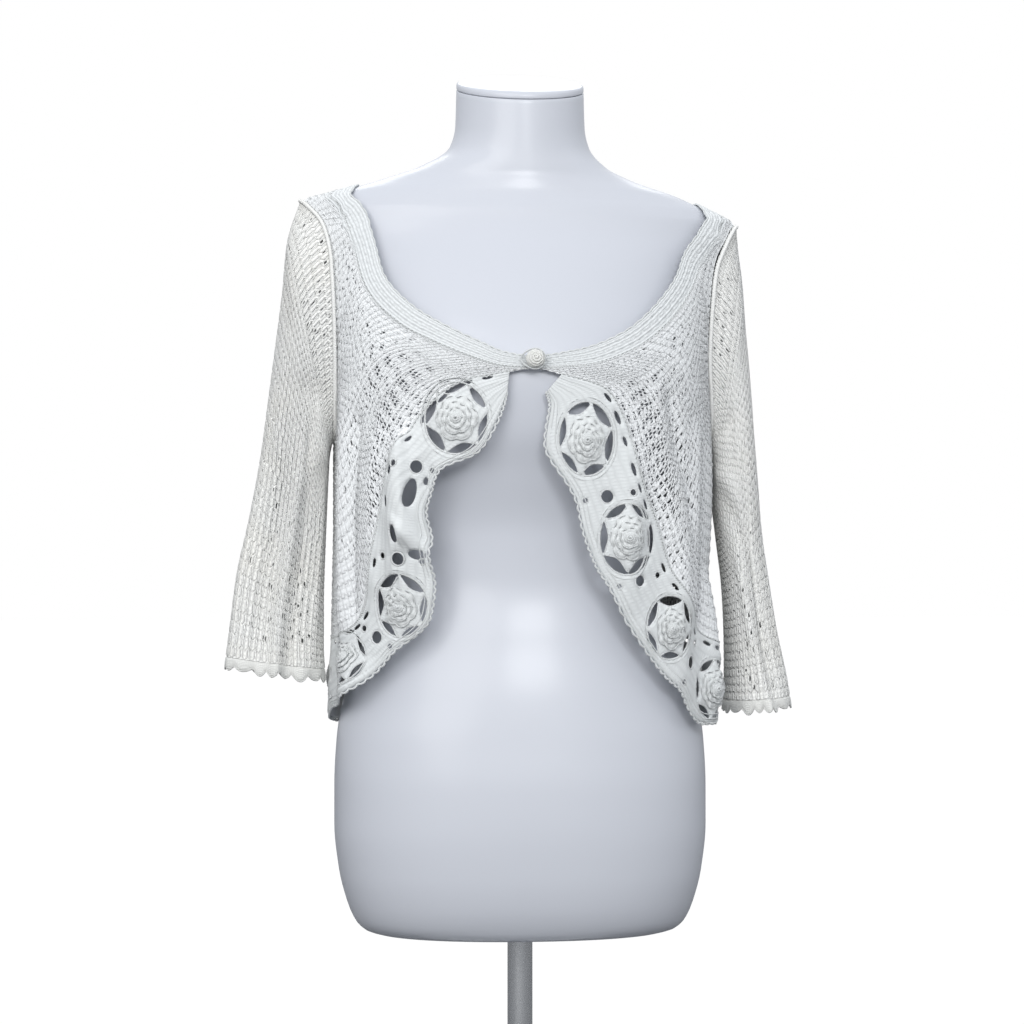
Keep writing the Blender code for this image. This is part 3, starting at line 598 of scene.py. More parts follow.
hardFinishes = {
    # base and dusty colour, roughness, metal, ripple scale and height in m, clear coat
    "formPlastic": ((0.60, 0.62, 0.675), (0.54, 0.56, 0.59), 0.40, 0.0, 14.0, 0.0005, 0.32),
    "poleChrome": ((0.86, 0.87, 0.89), (0.70, 0.71, 0.73), 0.22, 1.0, 60.0, 0.00005, 0.0),
    "baseMetal": ((0.62, 0.64, 0.67), (0.50, 0.51, 0.53), 0.30, 1.0, 180.0, 0.0001, 0.0),
}
surfaceLook = {"sheen": 0.25, "sheenRoughness": 0.5, "specular": 0.25, "coatRoughness": 0.2, "bumpStrength": 0.6}


def newMaterial(name):
    # a material, its nodes and its shader
    made = bpy.data.materials.new(name)
    made.use_nodes = True
    return made, Nodes(made.node_tree), made.node_tree.nodes["Principled BSDF"]


def placeEffect(nodes, name, **values):
    # one effect's group, with its sockets filled
    node = nodes.add("Group")
    node.node_tree = effects[name]
    return nodes.give(node, **values).outputs


def finishShader(nodes, shader, paint, height, distance, **values):
    # colour and roughness from the paint, the normal tilted by the slope of distance * height
    bump = nodes.add("Bump", Distance=distance, Strength=surfaceLook["bumpStrength"], Height=height)
    nodes.give(shader, Base_Color=paint["Color"], Roughness=paint["Roughness"], Normal=bump.outputs["Normal"], **values)


def cottonMaterial(name):
    # colour = fresh to warm by a mask of painted shade towards the back and random aged patches, * (1 - depth *
    # grooves) as painted shade in the dips, matt, with the yarn's bump
    colours, depth, effect, values, bump = cottonFinishes[name]
    fresh, agedAndShade, front = cottonColours[colours]
    made, nodes, shader = newMaterial(name)
    own = nodes.add("TexCoord").outputs["Object"]
    uvMap = nodes.add("UVMap")
    uvMap.uv_map = "yarnUv"
    stitch = placeEffect(nodes, effect, Vector=uvMap.outputs["UV"], Object=own, **values)
    tone = placeEffect(nodes, "tone", Object=own, Shade=stitch["Shade"], Fresh=(*fresh, 1), Aged=(*agedAndShade, 1),
                       Front=front, Depth=depth)
    finishShader(nodes, shader, tone, stitch["Height"], bump, Sheen_Weight=surfaceLook["sheen"],
                 Sheen_Roughness=surfaceLook["sheenRoughness"], Specular_IOR_Level=surfaceLook["specular"])
    return made


def hardMaterial(name):
    # colour = base to dusty by the dust mask, with a clear coat and a faint ripple
    base, dusty, smooth, metal, ripple, bump, coat = hardFinishes[name]
    made, nodes, shader = newMaterial(name)
    own = nodes.add("TexCoord").outputs["Object"]
    marks = placeEffect(nodes, "marks", Object=own, Base=(*base, 1), Dusty=(*dusty, 1), Smooth=smooth, Ripple=ripple)
    finishShader(nodes, shader, marks, marks["Height"], bump, Metallic=metal, Coat_Weight=coat,
                 Coat_Roughness=surfaceLook["coatRoughness"])
    return made


materials = {name: cottonMaterial(name) for name in cottonFinishes}
materials.update({name: hardMaterial(name) for name in hardFinishes})
print("materials:", ", ".join(materials))


# knitted panels and sleeves: every course is one yarn of omega-shaped loops

knitLoop = {
    # how far a loop bulges and overlaps the next course, its depth and lift in mm, sides of the yarn
    "bulge": 0.85, "overlap": 0.66, "depth": 0.45, "lift": 0.1, "sides": 3,
    # share of the way down over which the knit opens, uneven height of a course, random share of a stitch, of its
    # height and of the yarn's thickness, places read along a course
    "openOver": 0.4, "waver": 0.08, "noiseAcross": 0.010, "noiseDown": 0.025, "noiseYarn": 0.03, "samples": 161,
}
# wide and tall: mm, a stitch where the knit is close and where it is open; stitches are added or dropped by increase
bodyKnit = {**knitLoop, "wide": (5.6, 6.2), "tall": (6.6, 7.4), "openFrom": 0.45, "yarn": (0.92, 0.84), "steps": 7,
            "increase": 5}
backKnit = {**bodyKnit, "wide": (6.4, 6.8), "tall": (7.4, 7.8), "yarn": (1.02, 0.98), "steps": 6}
sleeveKnit = {**knitLoop, "wide": (6.4, 6.4), "tall": (8.0, 8.2), "openFrom": 0.5, "yarn": (1.02, 0.98), "steps": 6,
              "increase": 4}
# the close cloth behind the loops: a cell, its lift, the way between eyelets across and down, its fine stitches, all
# in mm; one line of eyelets in every so many; how sure each eyelet is
frontCloth = {"cell": 2.1, "lift": 0.2, "wale": 8.6, "course": 8.8, "stitch": (3.0, 3.4), "all": 0.0, "every": 1,
              "sure": 3.4}
eyelets = {
    # open: share across and down, spread each way, amount
    "left": {**frontCloth, "open": [(0.62, 0.46, 0.26, 0.32, 0.42), (0.60, 0.86, 0.16, 0.10, 1.2),
                                    (0.80, 0.80, 0.16, 0.16, 0.5), (0.15, 0.25, 0.2, 0.2, 0.2)]},
    "right": {**frontCloth, "open": [(0.36, 0.44, 0.26, 0.28, 0.38), (0.30, 0.86, 0.22, 0.14, 1.1),
                                     (0.80, 0.30, 0.2, 0.2, 0.25)]},
    "back": {"cell": 2.9, "lift": 0.1, "wale": 9.4, "course": 7.6, "stitch": (3.2, 3.6), "all": 0.10, "every": 4,
             "sure": 20, "open": [(0.5, 0.15, 0.40, 0.22, 0.35)]},
    "sleeve": {"cell": 2.3, "lift": 0.1, "wale": 9.0, "course": 8.4, "stitch": (3.2, 3.6), "all": 0.06, "every": 1,
               "sure": 2.0, "open": [(0.30, 0.75, 0.12, 0.30, 0.24), (0.22, 0.10, 0.10, 0.16, 0.30),
                                     (0.70, 0.60, 0.20, 0.40, 0.12)]},
}
# half an eyelet's share of a wale and of a course: at no openness, and what full openness adds
eyeletSize = ((0.12, 0.18), (0.20, 0.20))


def surfaceWithNormal(surface, u, v, sign):
    # normal = slope across x slope down, from small steps
    step = 0.004
    across = surface(u + step, v) - surface(u - step, v)
    down = surface(u, v + step) - surface(u, v - step)
    return surface(u, v), unit(np.cross(across, down)) * sign


def downScale(surface):
    # share of the way down each place v lies, by length, averaged over lines at five places across
    v = np.linspace(0, 1, 241)
    lines = (surface(v * 0 + c, v) for c in (0.1, 0.3, 0.5, 0.7, 0.9))
    return v, running(np.mean([np.linalg.norm(np.diff(line, axis=0), axis=1) for line in lines], axis=0))


def knitCourses(surface, settings, sign, seed, closed=False):
    # a course: across = (t + bulge sin 2t) / 2 pi N, down = row - overlap * tall * cos t, lift = depth * cos 2t
    batch = Batch()
    rng = np.random.default_rng(seed)
    v, length = downScale(surface)
    many = np.linspace(0, 1, settings["samples"])
    openAt = eased((length / length[-1] - settings["openFrom"]) / settings["openOver"])
    crowd = running(np.diff(length) / blend(settings["tall"], openAt)[:-1])
    courses = int(round(crowd[-1]))
    rowsDown = np.interp((np.arange(courses) + 0.5) * crowd[-1] / courses, crowd, length)
    stitches = 0
    for course, down in enumerate(rowsDown):
        place, openness = (float(np.interp(down, length, scale)) for scale in (v, openAt))
        row = surface(many, many * 0 + place)
        lengths = running(np.linalg.norm(np.diff(row, axis=0), axis=1))
        wanted = lengths[-1] / blend(settings["wide"], openness)
        if not stitches or abs(wanted - stitches) > settings["increase"]:  # added or dropped a few at a time
            stitches = max(int(round(wanted)), 3)
        t = np.arange(stitches * settings["steps"] + (0 if closed else 1)) * 2 * np.pi / settings["steps"]
        share = (t + settings["bulge"] * np.sin(2 * t)) / (2 * np.pi * stitches)
        share = share + rng.normal(0, settings["noiseAcross"] / stitches, share.shape)
        share = share if closed else np.clip(share, 0, 1)
        u = np.interp(share % 1 if closed else share, lengths / lengths[-1], many)
        uneven = (1 + settings["waver"] * np.sin(course * 2.3 + 9 * share)
                  + rng.normal(0, settings["noiseDown"], share.shape))
        reach = settings["overlap"] * blend(settings["tall"], openness) * np.cos(t) * uneven
        at = np.interp(np.clip(down - reach, 0, length[-1]), length, v)
        path, normal = surfaceWithNormal(surface, u, np.clip(at, 0.001, 0.999), sign)
        path = path + normal * (settings["depth"] * np.cos(2 * t) + settings["lift"])[:, None]
        radius = blend(settings["yarn"], openness) * (1 + rng.normal(0, settings["noiseYarn"], len(t)))
        sweep(batch, path, normal, radius, settings["sides"], closed)
    return batch


def clothGround(surface, net, sign, seed, closed=False):
    # the close cloth behind the loops: a grid of cells at a low lift, without those in an eyelet; an eyelet sits where
    # the shares of a wale and of a course that are left over both lie near their middle
    batch = Batch()
    v, length = downScale(surface)
    rows = int(length[-1] / net["cell"])
    down = np.interp(np.arange(rows + 1) / rows * length[-1], length, v)[:, None]
    many = np.linspace(0, 1, 81)[None]
    width = np.linalg.norm(np.diff(surface(many + 0 * down, down + 0 * many), axis=1), axis=-1).sum(axis=1)
    columns = int(np.percentile(width, 80) / net["cell"])
    u = (np.arange(columns + (0 if closed else 1)) / columns)[None]
    points, normal = surfaceWithNormal(surface, u + 0 * down, down + 0 * u, sign)
    i, j = (a.ravel() for a in np.mgrid[0:rows, 0:columns])
    across = (j + 0.5) / columns
    wale, course = (across - 0.5) * width[i] / net["wale"], (i + 0.5) / rows * length[-1] / net["course"]
    line = np.floor(course).astype(int)
    wale = wale + 0.5 * (line // net["every"] % 2) + 0.10 * np.sin(line * 1.9)
    chance = np.random.default_rng(seed).random((256, 256))[line % 256, np.floor(wale).astype(int) % 256]
    openness = net["all"] + sum(amount * np.exp(-((across - u0) / wideU) ** 2 - ((down[i, 0] - v0) / wideV) ** 2)
                                for u0, v0, wideU, wideV, amount in net["open"])
    reach = np.clip(openness, 0, 1)
    halfWale, halfCourse = (low + more * reach for low, more in eyeletSize)
    eyelet = ((np.abs(wale % 1 - 0.5) < halfWale) & (np.abs(course % 1 - 0.5) < halfCourse)
              & (chance < net["sure"] * reach) & (line % net["every"] == 0) & (i > 1) & (i < rows - 2))
    if not closed:
        eyelet &= (j > 1) & (j < columns - 2)
    quads = gridQuads(rows + 1, columns + (0 if closed else 1), False, closed)
    stitchU, stitchV = width.mean() / net["stitch"][0] / columns, length[-1] / net["stitch"][1] / rows
    corner = np.stack([np.stack([(j + a) * stitchU, (i + b) * stitchV], -1)
                       for a, b in ((0, 0), (1, 0), (1, 1), (0, 1))], axis=1)
    if sign < 0:
        quads, corner = quads[:, ::-1], corner[:, ::-1]
    batch.add(points + normal * net["lift"], quads[~eyelet], corner[~eyelet])
    return batch


def panelSurface(plan):
    # the plan's angles and heights read by Catmull-Rom, then put on the cloth's form
    rows, columns = plan.shape[:2]

    def surface(u, v):
        # the plan's angle and height at (u, v), laid on the cloth
        where = cubicRead(plan, np.clip(v, 0, 1) * (rows - 1), np.clip(u, 0, 1) * (columns - 1), False)
        return clothAt(where)
    return surface


def knitPanel(name, node, plan, seed, settings, net):
    # the close cloth, its courses of loops, and a crocheted chain down each side
    surface = panelSurface(plan)
    made = buildPiece(name, clothGround(surface, net, -1, seed=seed), materials["bodyGround"], [node])
    batch = knitCourses(surface, settings, -1, seed=seed)
    t = np.linspace(0, 1, 260)
    for u in (0.004, 0.996):
        path, normal = surfaceWithNormal(surface, t * 0 + u, t, -1)
        plait(batch, path, normal, 0.9, 0.6, 40, 0.9)
    loops = buildPiece(name + "Loops", batch, materials["bodyKnit"])


sleeves = {
    # outermost x and height, innermost x and height, half depth, y of the middle
    "left": [(-203, 616, -168, 427, 43, 1), (-208, 568, -169, 409, 40, 2), (-214, 521, -170, 388, 36, 3),
             (-221, 468, -171, 362, 32, 4), (-227, 424, -172, 336, 29, 5), (-237, 371, -173, 305, 27, 5),
             (-247, 327, -173, 279, 26, 5), (-253, 283, -173, 257, 26, 5), (-257, 252, -172, 241, 27, 5)],
    "right": [(194, 598, 169, 422, 44, 2), (198, 556, 171, 402, 43, 3), (201, 512, 173, 384, 42, 4),
              (204, 459, 176, 362, 41, 5), (208, 411, 179, 340, 40, 6), (212, 363, 182, 318, 40, 7),
              (219, 319, 184, 290, 40, 8), (227, 275, 185, 257, 41, 9), (236, 236, 185, 226, 44, 10),
              (240, 216, 184, 212, 46, 10)],
    # share of the way round, spread, share of the way down, spread, depth
    "folds": [(0.30, 0.05, 0.30, 0.16, 5), (0.17, 0.04, 0.42, 0.20, -5), (0.22, 0.05, 0.80, 0.20, 4),
              (0.70, 0.05, 0.35, 0.16, 5), (0.82, 0.05, 0.60, 0.20, -4)],
    "around": 20, "gap": 0.3,
    # creases from the underarm: share round and down at one end and the other, half width, depth in mm
    "creases": {
        "left": [(0.36, 0.04, 0.20, 0.34, 0.030, 3.4), (0.42, 0.10, 0.27, 0.50, 0.028, -3.2),
                 (0.315, 0.34, 0.285, 1.3, 0.026, 5.4), (0.26, 0.30, 0.245, 1.4, 0.017, -7.2),
                 (0.19, 0.24, 0.17, 1.3, 0.034, 4.8),
                 (0.10, 0.20, 0.06, 1.2, 0.030, -2.6), (0.40, 0.30, 0.38, 1.0, 0.024, -3.0),
                 (0.62, 0.06, 0.78, 0.40, 0.032, 3.0), (0.70, 0.45, 0.80, 0.92, 0.034, -2.4)],
        "right": [(0.40, 0.06, 0.20, 0.34, 0.030, 3.4), (0.44, 0.16, 0.25, 0.48, 0.026, -3.0),
                  (0.42, 0.28, 0.22, 0.66, 0.030, 3.6), (0.34, 0.50, 0.20, 1.2, 0.024, -3.2),
                  (0.26, 0.30, 0.16, 1.2, 0.030, 3.2), (0.12, 0.16, 0.08, 1.1, 0.030, -2.6),
                  (0.60, 0.08, 0.76, 0.44, 0.032, 3.0), (0.66, 0.40, 0.82, 0.90, 0.034, -2.4)],
    },
}
cuffs = {
    "teeth": 19, "depth": 6.0, "tooth": 6.2, "thick": 1.1, "steps": 12, "around": 12,
    # cords on the edging: share of its depth, yarn radius in mm
    "cords": ((0.06, 0.8), (0.5, 0.64)), "cordSteps": 300,
}


def sleeveRings(side):
    # ring = middle + cos t * (reach across) - sin t * (half depth), pushed out by the soft folds
    front, back = armhole(side, "front"), armhole(side, "back")
    loop = np.concatenate([front, back[-2:0:-1]])
    start, _ = onCloth(loop, wall + sleeves["gap"])
    t = np.linspace(0, 2 * np.pi, sleeves["around"], endpoint=False)
    outerX, outerZ, innerX, innerZ, depth, middleY = np.array(sleeves[side], float).T[..., None]
    middle = np.stack([(outerX + innerX) / 2, middleY, (outerZ + innerZ) / 2], -1)
    reach = np.stack([(outerX - innerX) / 2, 0 * depth, (outerZ - innerZ) / 2], -1)
    inward = np.stack([0 * depth, depth, 0 * depth], -1)
    rings = middle + np.cos(t)[None, :, None] * reach - np.sin(t)[None, :, None] * inward
    rings = np.concatenate([start[None], rings])
    down, roundIt = np.linspace(0, 1, len(rings))[:, None], (t / (2 * np.pi))[None]
    push = sum(depth * np.exp(-(((roundIt - place + 0.5) % 1 - 0.5) / spread) ** 2 - ((down - low) / fall) ** 2)
               for place, spread, low, fall, depth in sleeves["folds"])
    normal = unit(np.cross(np.roll(rings, -1, 1) - np.roll(rings, 1, 1), np.gradient(rings, axis=0)))
    return rings + normal * (1 if side == "left" else -1) * push[..., None]


def sleeveSurface(side):
    # the rings read by Catmull-Rom, with creases: depth * exp(-(distance to the crease / width)^2) * fade
    rings = sleeveRings(side)
    sign = 1 if side == "left" else -1

    def smooth(u, v):
        # the rings at (u, v), before the creases
        return cubicRead(rings, np.clip(v, 0, 1) * (len(rings) - 1), u % 1 * sleeves["around"], True)

    def surface(u, v):
        # smooth(u, v) + its normal * the creases' push
        point = smooth(u, v)
        push = 0
        for u0, v0, u1, v1, width, depth in sleeves["creases"][side]:
            along = np.clip((v - v0) / (v1 - v0), 0, 1)
            away = (u - (u0 + (u1 - u0) * along) + 0.5) % 1 - 0.5
            push = push + depth * np.exp(-(away / width) ** 2) * np.sin(np.pi * along) ** 0.7
        step = 0.01
        normal = unit(np.cross(smooth(u + step, v) - smooth(u - step, v), smooth(u, v + step) - smooth(u, v - step)))
        return point + normal * sign * push[..., None]
    return surface


def knitSleeve(side, seed):
    # the close cloth, its courses of loops, the sewn chain round the armhole, and the cuff's edging
    surface, name = sleeveSurface(side), side.capitalize()
    sign = 1 if side == "left" else -1
    made = buildPiece("sleeve" + name, clothGround(surface, eyelets["sleeve"], sign, seed, closed=True),
                      materials["sleeveGround"], ["sleeve_" + side])
    batch = knitCourses(surface, sleeveKnit, sign, seed, closed=True)
    u = np.linspace(0, 1, 640, endpoint=False)
    path, normal = surfaceWithNormal(surface, u, u * 0 + 0.006, sign)
    sweep(batch, path - normal * 1.3, normal, 1.8, 5, True)
    plait(batch, path, normal, 1.2, 0.6, 90, 1.0, closed=True)
    loops = buildPiece("sleeveLoops" + name, batch, materials["sleeveKnit"])
    cuffEdging(side, surface, sign)


def cuffRim(surface, u, sign):
    # the sleeve's end at u, the way the cloth falls there, and its normal
    end = surface(u, u * 0 + 1)
    _, normal = surfaceWithNormal(surface, u, u * 0 + 0.995, sign)
    return end, unit(end - surface(u, u * 0 + 0.96)), normal


def cuffEdging(side, surface, sign):
    # depth = band + tooth * |sin(pi teeth u)|^1.2, with a rounded section that runs round the cuff
    steps, around = cuffs["teeth"] * cuffs["steps"], cuffs["around"]
    u = np.arange(steps) / steps
    end, fall, normal = cuffRim(surface, u, sign)
    uneven = 0.72 + 0.28 * np.sin(2 * np.pi * (3 * u + 0.2)) * np.sin(2 * np.pi * (5 * u + 0.6))
    toothAt = np.abs(np.sin(np.pi * cuffs["teeth"] * (u + 0.012 * np.sin(2 * np.pi * 4 * u)))) ** 1.2
    depth = cuffs["depth"] + cuffs["tooth"] * uneven * toothAt
    p = np.linspace(0, 2 * np.pi, around, endpoint=False)
    share = (0.5 - 0.5 * np.cos(p))[None, :, None]
    lift = (cuffs["thick"] * np.sign(np.sin(p)) * np.abs(np.sin(p)) ** 0.6)[None, :, None]
    rings = end[:, None] + fall[:, None] * (depth[:, None, None] * share + 0.3) + normal[:, None] * lift
    quads = gridQuads(steps, around, True, True)
    uv = np.stack(np.broadcast_arrays(u[:, None] * 0.5, share[0, :, 0]), -1).reshape(-1, 2)
    if side == "left":
        quads = quads[:, ::-1]
    batch = Batch()
    batch.add(rings, quads, uv[quads])
    fine = np.arange(cuffs["cordSteps"]) / cuffs["cordSteps"]
    fineEnd, way, out = cuffRim(surface, fine, sign)
    for down, radius in cuffs["cords"]:
        plait(batch, fineEnd + way * (down * cuffs["depth"] + 1) + out * 1.0, out, 0.8, 0.5, 50, radius, closed=True)
    sweep(batch, end + fall * (depth + 0.6)[:, None], normal, 0.95, 5, closed=True)
    return buildPiece("cuffEdging" + side.capitalize(), batch, materials["cuffRows"],
                      ["cuff_edging_" + side])


knitPanel("knitFrontLeft", "front_left", frontPlan("left"), 5, bodyKnit, eyelets["left"])
knitPanel("knitFrontRight", "front_right", frontPlan("right"), 6, bodyKnit, eyelets["right"])
knitPanel("knitBack", "back_panel", backPlan(), 7, backKnit, eyelets["back"])
knitSleeve("left", 8)
knitSleeve("right", 9)
print("knit:", triangles)

# the lace trim: one crocheted band with cut gaps, and a rose in each of its rings

lace = {
    # place along the band, share across it, half width and half height of the ring's hole in mm, turn of the star
    "rings": [(0.56, 0.43, 27, 30, 0.20), (1.50, 0.60, 15, 29, 0.10), (2.48, 0.54, 23, 27, 0.42),
              (3.38, 0.46, 23, 24, 0.05), (4.50, 0.50, 27, 26, 0.30), (5.50, 0.50, 30, 30, 0.00),
              (6.50, 0.50, 29, 31, 0.52), (7.50, 0.50, 30, 30, 0.25), (8.50, 0.50, 27, 26, 0.12),
              (9.56, 0.58, 23, 26, 0.45), (10.52, 0.50, 23, 27, 0.00), (11.45, 0.50, 24, 30, 0.50),
              (12.30, 0.50, 24, 31, 0.30)],
    "starTip": 1.05, "starDip": 0.32, "shift": 1.3, "thick": 1.25, "cellsAlong": 50, "cellsAcross": 40,
    # mm to one place along and to one share across, step for slopes, mm over which an edge rounds off
    "perPlace": 90, "perShare": 65, "slopeStep": 0.004, "soft": 2.2,
    # ribs: height in mm and number to a place or across, and how far the cross ribs sway
    "ribsAlong": (0.18, 24), "ribsAcross": (0.22, 3.2), "sway": 1.5,
    # holes between two rings: share across the band, radius in mm
    "joints": [(0.52, 5.4), (0.20, 2.7), (0.84, 2.3)],
    # the ring that the fold hides shows only these gaps: right, up, half width, half height in mm, tilt in degrees
    "hidden": {1: [(-8.9, 34.3, 2.8, 5.8, 12), (9.8, 13.0, 4.4, 12.0, -8), (-2.2, -20.8, 3.8, 7.6, 4),
                   (15.5, -39.0, 7.5, 4.2, -10), (-12.0, 6.0, 1.6, 5.0, 6), (20.5, 22.0, 1.8, 3.4, 0)]},
    # slots beside the knit: place from the ring's middle, half width and half length in mm; share across the band
    "slots": [(-0.40, 1.5, 4.6), (-0.24, 2.0, 6.2), (-0.06, 1.7, 5.4), (0.11, 2.1, 6.4), (0.28, 1.6, 5.0)],
    "slotShare": 0.075,
    "fewSlots": (1, 2, 3, 10, 11),  # rings with only the first and last slot, because their inner edge is short
    "dip": 0.05, "scallops": 14, "scallop": 1.9,
    # cords along the outer edge: lift, radius, share of the scallop's push, share of the band inwards
    "edges": ((0.3, 1.15, 1.0, 0.0), (1.2, 0.75, 0.0, 0.05), (1.3, 0.6, 0.0, 0.11)),
    # tiers of petals: reach, count, turn, height in the middle and at the edge, ruffle in mm
    "tiers": [(0.66, 6, 0.0, 1.5, 2.6, 0.7), (0.47, 5, 0.5, 3.0, 4.3, 0.8), (0.30, 4, 0.2, 4.6, 5.9, 0.6)],
    "petalAround": 72, "petalRows": 5, "petalThick": 0.75,
    # cords round a tier, the hole, the star and the ring: lift and radius in mm, steps, ripple in mm, ripples
    "tierCord": (0.15, 0.72, 74, 0.3, 22), "holeCord": (0.5, 1.05, 96, 0.3, 34), "starCord": (0.6, 0.95, 96, 0.3, 34),
    "ringCord": (1.35, 0.6, 96, 0.25, 44),
    # the coiled bud: share of a hole that it fills, lowest and highest point, turns, size of a hole and yarn in mm
    "bud": (0.155, 6.2, 8.2, 2.6, 27, 1.35),
}


def laceFrame(index):
    # middle of the ring, its tangent to the right, its tangent upwards
    plan = trimPlan(*lace["rings"][index][:2])
    middle, normal = onCloth(plan)
    right = unit(clothPoint(plan[0] + 2, plan[1]) - clothPoint(plan[0] - 2, plan[1]))
    return middle, right, np.cross(normal, right)


def laceSpot(index, x, y, lift):
    # middle + x * right + y * up in mm, laid back on the cloth, then out along its normal
    middle, right, up = laceFrame(index)
    spot = middle + np.asarray(x)[..., None] * right + np.asarray(y)[..., None] * up
    plan = np.stack([np.degrees(np.arctan2(spot[..., 0], -spot[..., 1])), spot[..., 2]], -1)
    return onCloth(plan, np.asarray(lift)[..., None])


def roseShift(index):
    # a rose sits a little off its ring's middle, each another way
    return lace["shift"] * np.array([np.cos(index * 2.4), np.sin(index * 2.4)])


def starReach(index, angle):
    # tip - dip * |sin 3 (angle - turn)|^0.7, in hole radii: six points that just touch the ring
    return lace["starTip"] - lace["starDip"] * np.abs(np.sin(3 * (angle - lace["rings"][index][4]))) ** 0.7


def jointPlaces():
    # halfway between two rings
    middles = np.array([ring[0] for ring in lace["rings"]])
    return (middles[1:] + middles[:-1]) / 2


def clothLeft(place, share):
    # distance in mm to the nearest gap: more than 0 where there is cloth, less than 0 in a gap
    point = clothAt(trimPlan(place, share))
    left = np.full(np.shape(place), 50.0)
    for index, (at, _, wide, high, _) in enumerate(lace["rings"]):
        near = np.abs(place - at) < 0.75
        middle, right, up = laceFrame(index)
        away = point[near] - middle
        x, y = away @ right, away @ up
        for rightward, upward, halfWide, halfHigh, tilt in lace["hidden"].get(index, []):
            c, n = np.cos(np.radians(tilt)), np.sin(np.radians(tilt))
            a = ((x - rightward) * c + (y - upward) * n) / halfWide
            b = ((y - upward) * c - (x - rightward) * n) / halfHigh
            left[near] = np.minimum(left[near], (np.hypot(a, b) - 1) * min(halfWide, halfHigh))
        if index in lace["hidden"]:
            continue
        size = np.sqrt(wide * high)
        outside = (np.hypot(x / wide, y / high) - 1) * size
        x, y = x - roseShift(index)[0], y - roseShift(index)[1]
        inside = (starReach(index, np.arctan2(y / high, x / wide)) - np.hypot(x / wide, y / high)) * size
        left[near] = np.minimum(left[near], np.maximum(outside, inside))
        for offset, halfWide, halfLong in lace["slots"][::4 if index in lace["fewSlots"] else 1]:
            here, ahead = (clothAt(trimPlan(at + offset + step, lace["slotShare"])) for step in (0, 0.05))
            away = point[near] - here
            deep = away @ unit(ahead - here)
            side = np.sqrt(np.maximum((away ** 2).sum(-1) - deep ** 2, 0))
            left[near] = np.minimum(left[near], (np.hypot(side / halfWide, deep / halfLong) - 1) * halfWide)
    for number, at in enumerate(jointPlaces()):
        for across, radius in lace["joints"]:
            away = np.linalg.norm(point - clothAt(trimPlan(at, across)), axis=-1)
            left = np.minimum(left, away - radius * (1 + 0.15 * np.sin(number * 1.7)))
    return left


def bandReach(place):
    # the outer edge draws in by dip where two rings meet
    nearest = np.abs(np.asarray(place)[..., None] - jointPlaces()).min(axis=-1)
    return 1 - lace["dip"] * np.exp(-(nearest / 0.16) ** 2)


def buildBand():
    # a grid of cells; those in a gap go, and the points on a gap's edge slide onto it along the slope of clothLeft
    rows, columns = clothForm["motifs"] * lace["cellsAlong"] + 1, lace["cellsAcross"] + 1
    place = np.linspace(0.003, clothForm["motifs"] - 0.003, rows)[:, None] + np.zeros(columns)
    share = np.linspace(0, 1, columns)[None] * bandReach(place[:, :1])
    place, share = place.ravel(), share.ravel()
    cells = gridQuads(rows, columns)
    kept = clothLeft(place, share)[cells].mean(axis=1) > 0
    inKept, inGap = np.zeros(len(place), bool), np.zeros(len(place), bool)
    inKept[cells[kept].ravel()] = True
    inGap[cells[~kept].ravel()] = True
    edge = np.flatnonzero(inKept & inGap)
    step, perPlace, perShare = lace["slopeStep"], lace["perPlace"], lace["perShare"]
    for _ in range(4):
        a, b = place[edge], share[edge]
        value = clothLeft(a, b)
        slopeA = (clothLeft(a + step, b) - clothLeft(a - step, b)) / (2 * step)
        slopeB = (clothLeft(a, b + step) - clothLeft(a, b - step)) / (2 * step)
        size = np.maximum(slopeA ** 2 / perPlace ** 2 + slopeB ** 2 / perShare ** 2, 1e-3)
        place[edge] = a - np.clip(value * slopeA / perPlace ** 2 / size, -0.02, 0.02)
        share[edge] = np.clip(b - np.clip(value * slopeB / perShare ** 2 / size, -0.03, 0.03), 0, 1)
    used, cells = np.unique(cells[kept], return_inverse=True)
    cells = cells.reshape(-1, 4)
    place, share = place[used], share[used]
    gap = np.maximum(clothLeft(place, share), 0)
    middle, normal = onCloth(trimPlan(place, share))
    side = np.minimum(share, bandReach(place) - share) * perShare
    soft = np.sqrt(np.clip(np.minimum(gap, side + 0.1) / lace["soft"], 0.06, 1))
    rise, many = lace["ribsAlong"]
    ribs = rise * np.sin(2 * np.pi * many * place) * eased((share - 0.5) / 0.4)
    rise, many = lace["ribsAcross"]
    ribs = ribs + rise * np.sin(2 * np.pi * many * share + lace["sway"] * np.sin(2 * np.pi * place))
    lift = lace["thick"] * soft
    top = middle + normal * (lift + 0.3 + ribs * soft)[:, None]
    under = middle + normal * (0.3 - lift)[:, None]
    count = len(used)
    sides = np.concatenate([cells[:, [k, (k + 1) % 4]] for k in range(4)])
    code = sides[:, 0] * np.int64(count) + sides[:, 1]
    back = sides[:, 1] * np.int64(count) + sides[:, 0]
    rim = sides[~np.isin(code, back)]
    walls = np.stack([rim[:, 1], rim[:, 0], rim[:, 0] + count, rim[:, 1] + count], -1)
    faces = np.concatenate([cells, cells[:, ::-1] + count, walls])
    uv = np.tile(np.stack([place, share], -1), (2, 1))
    batch = Batch()
    batch.add(np.concatenate([top, under]), faces, uv[faces])
    nodes = [f"motif_{k + 1:02d}" for k in range(clothForm["motifs"])]
    return buildPiece("laceBand", batch, materials["trimRows"], nodes)


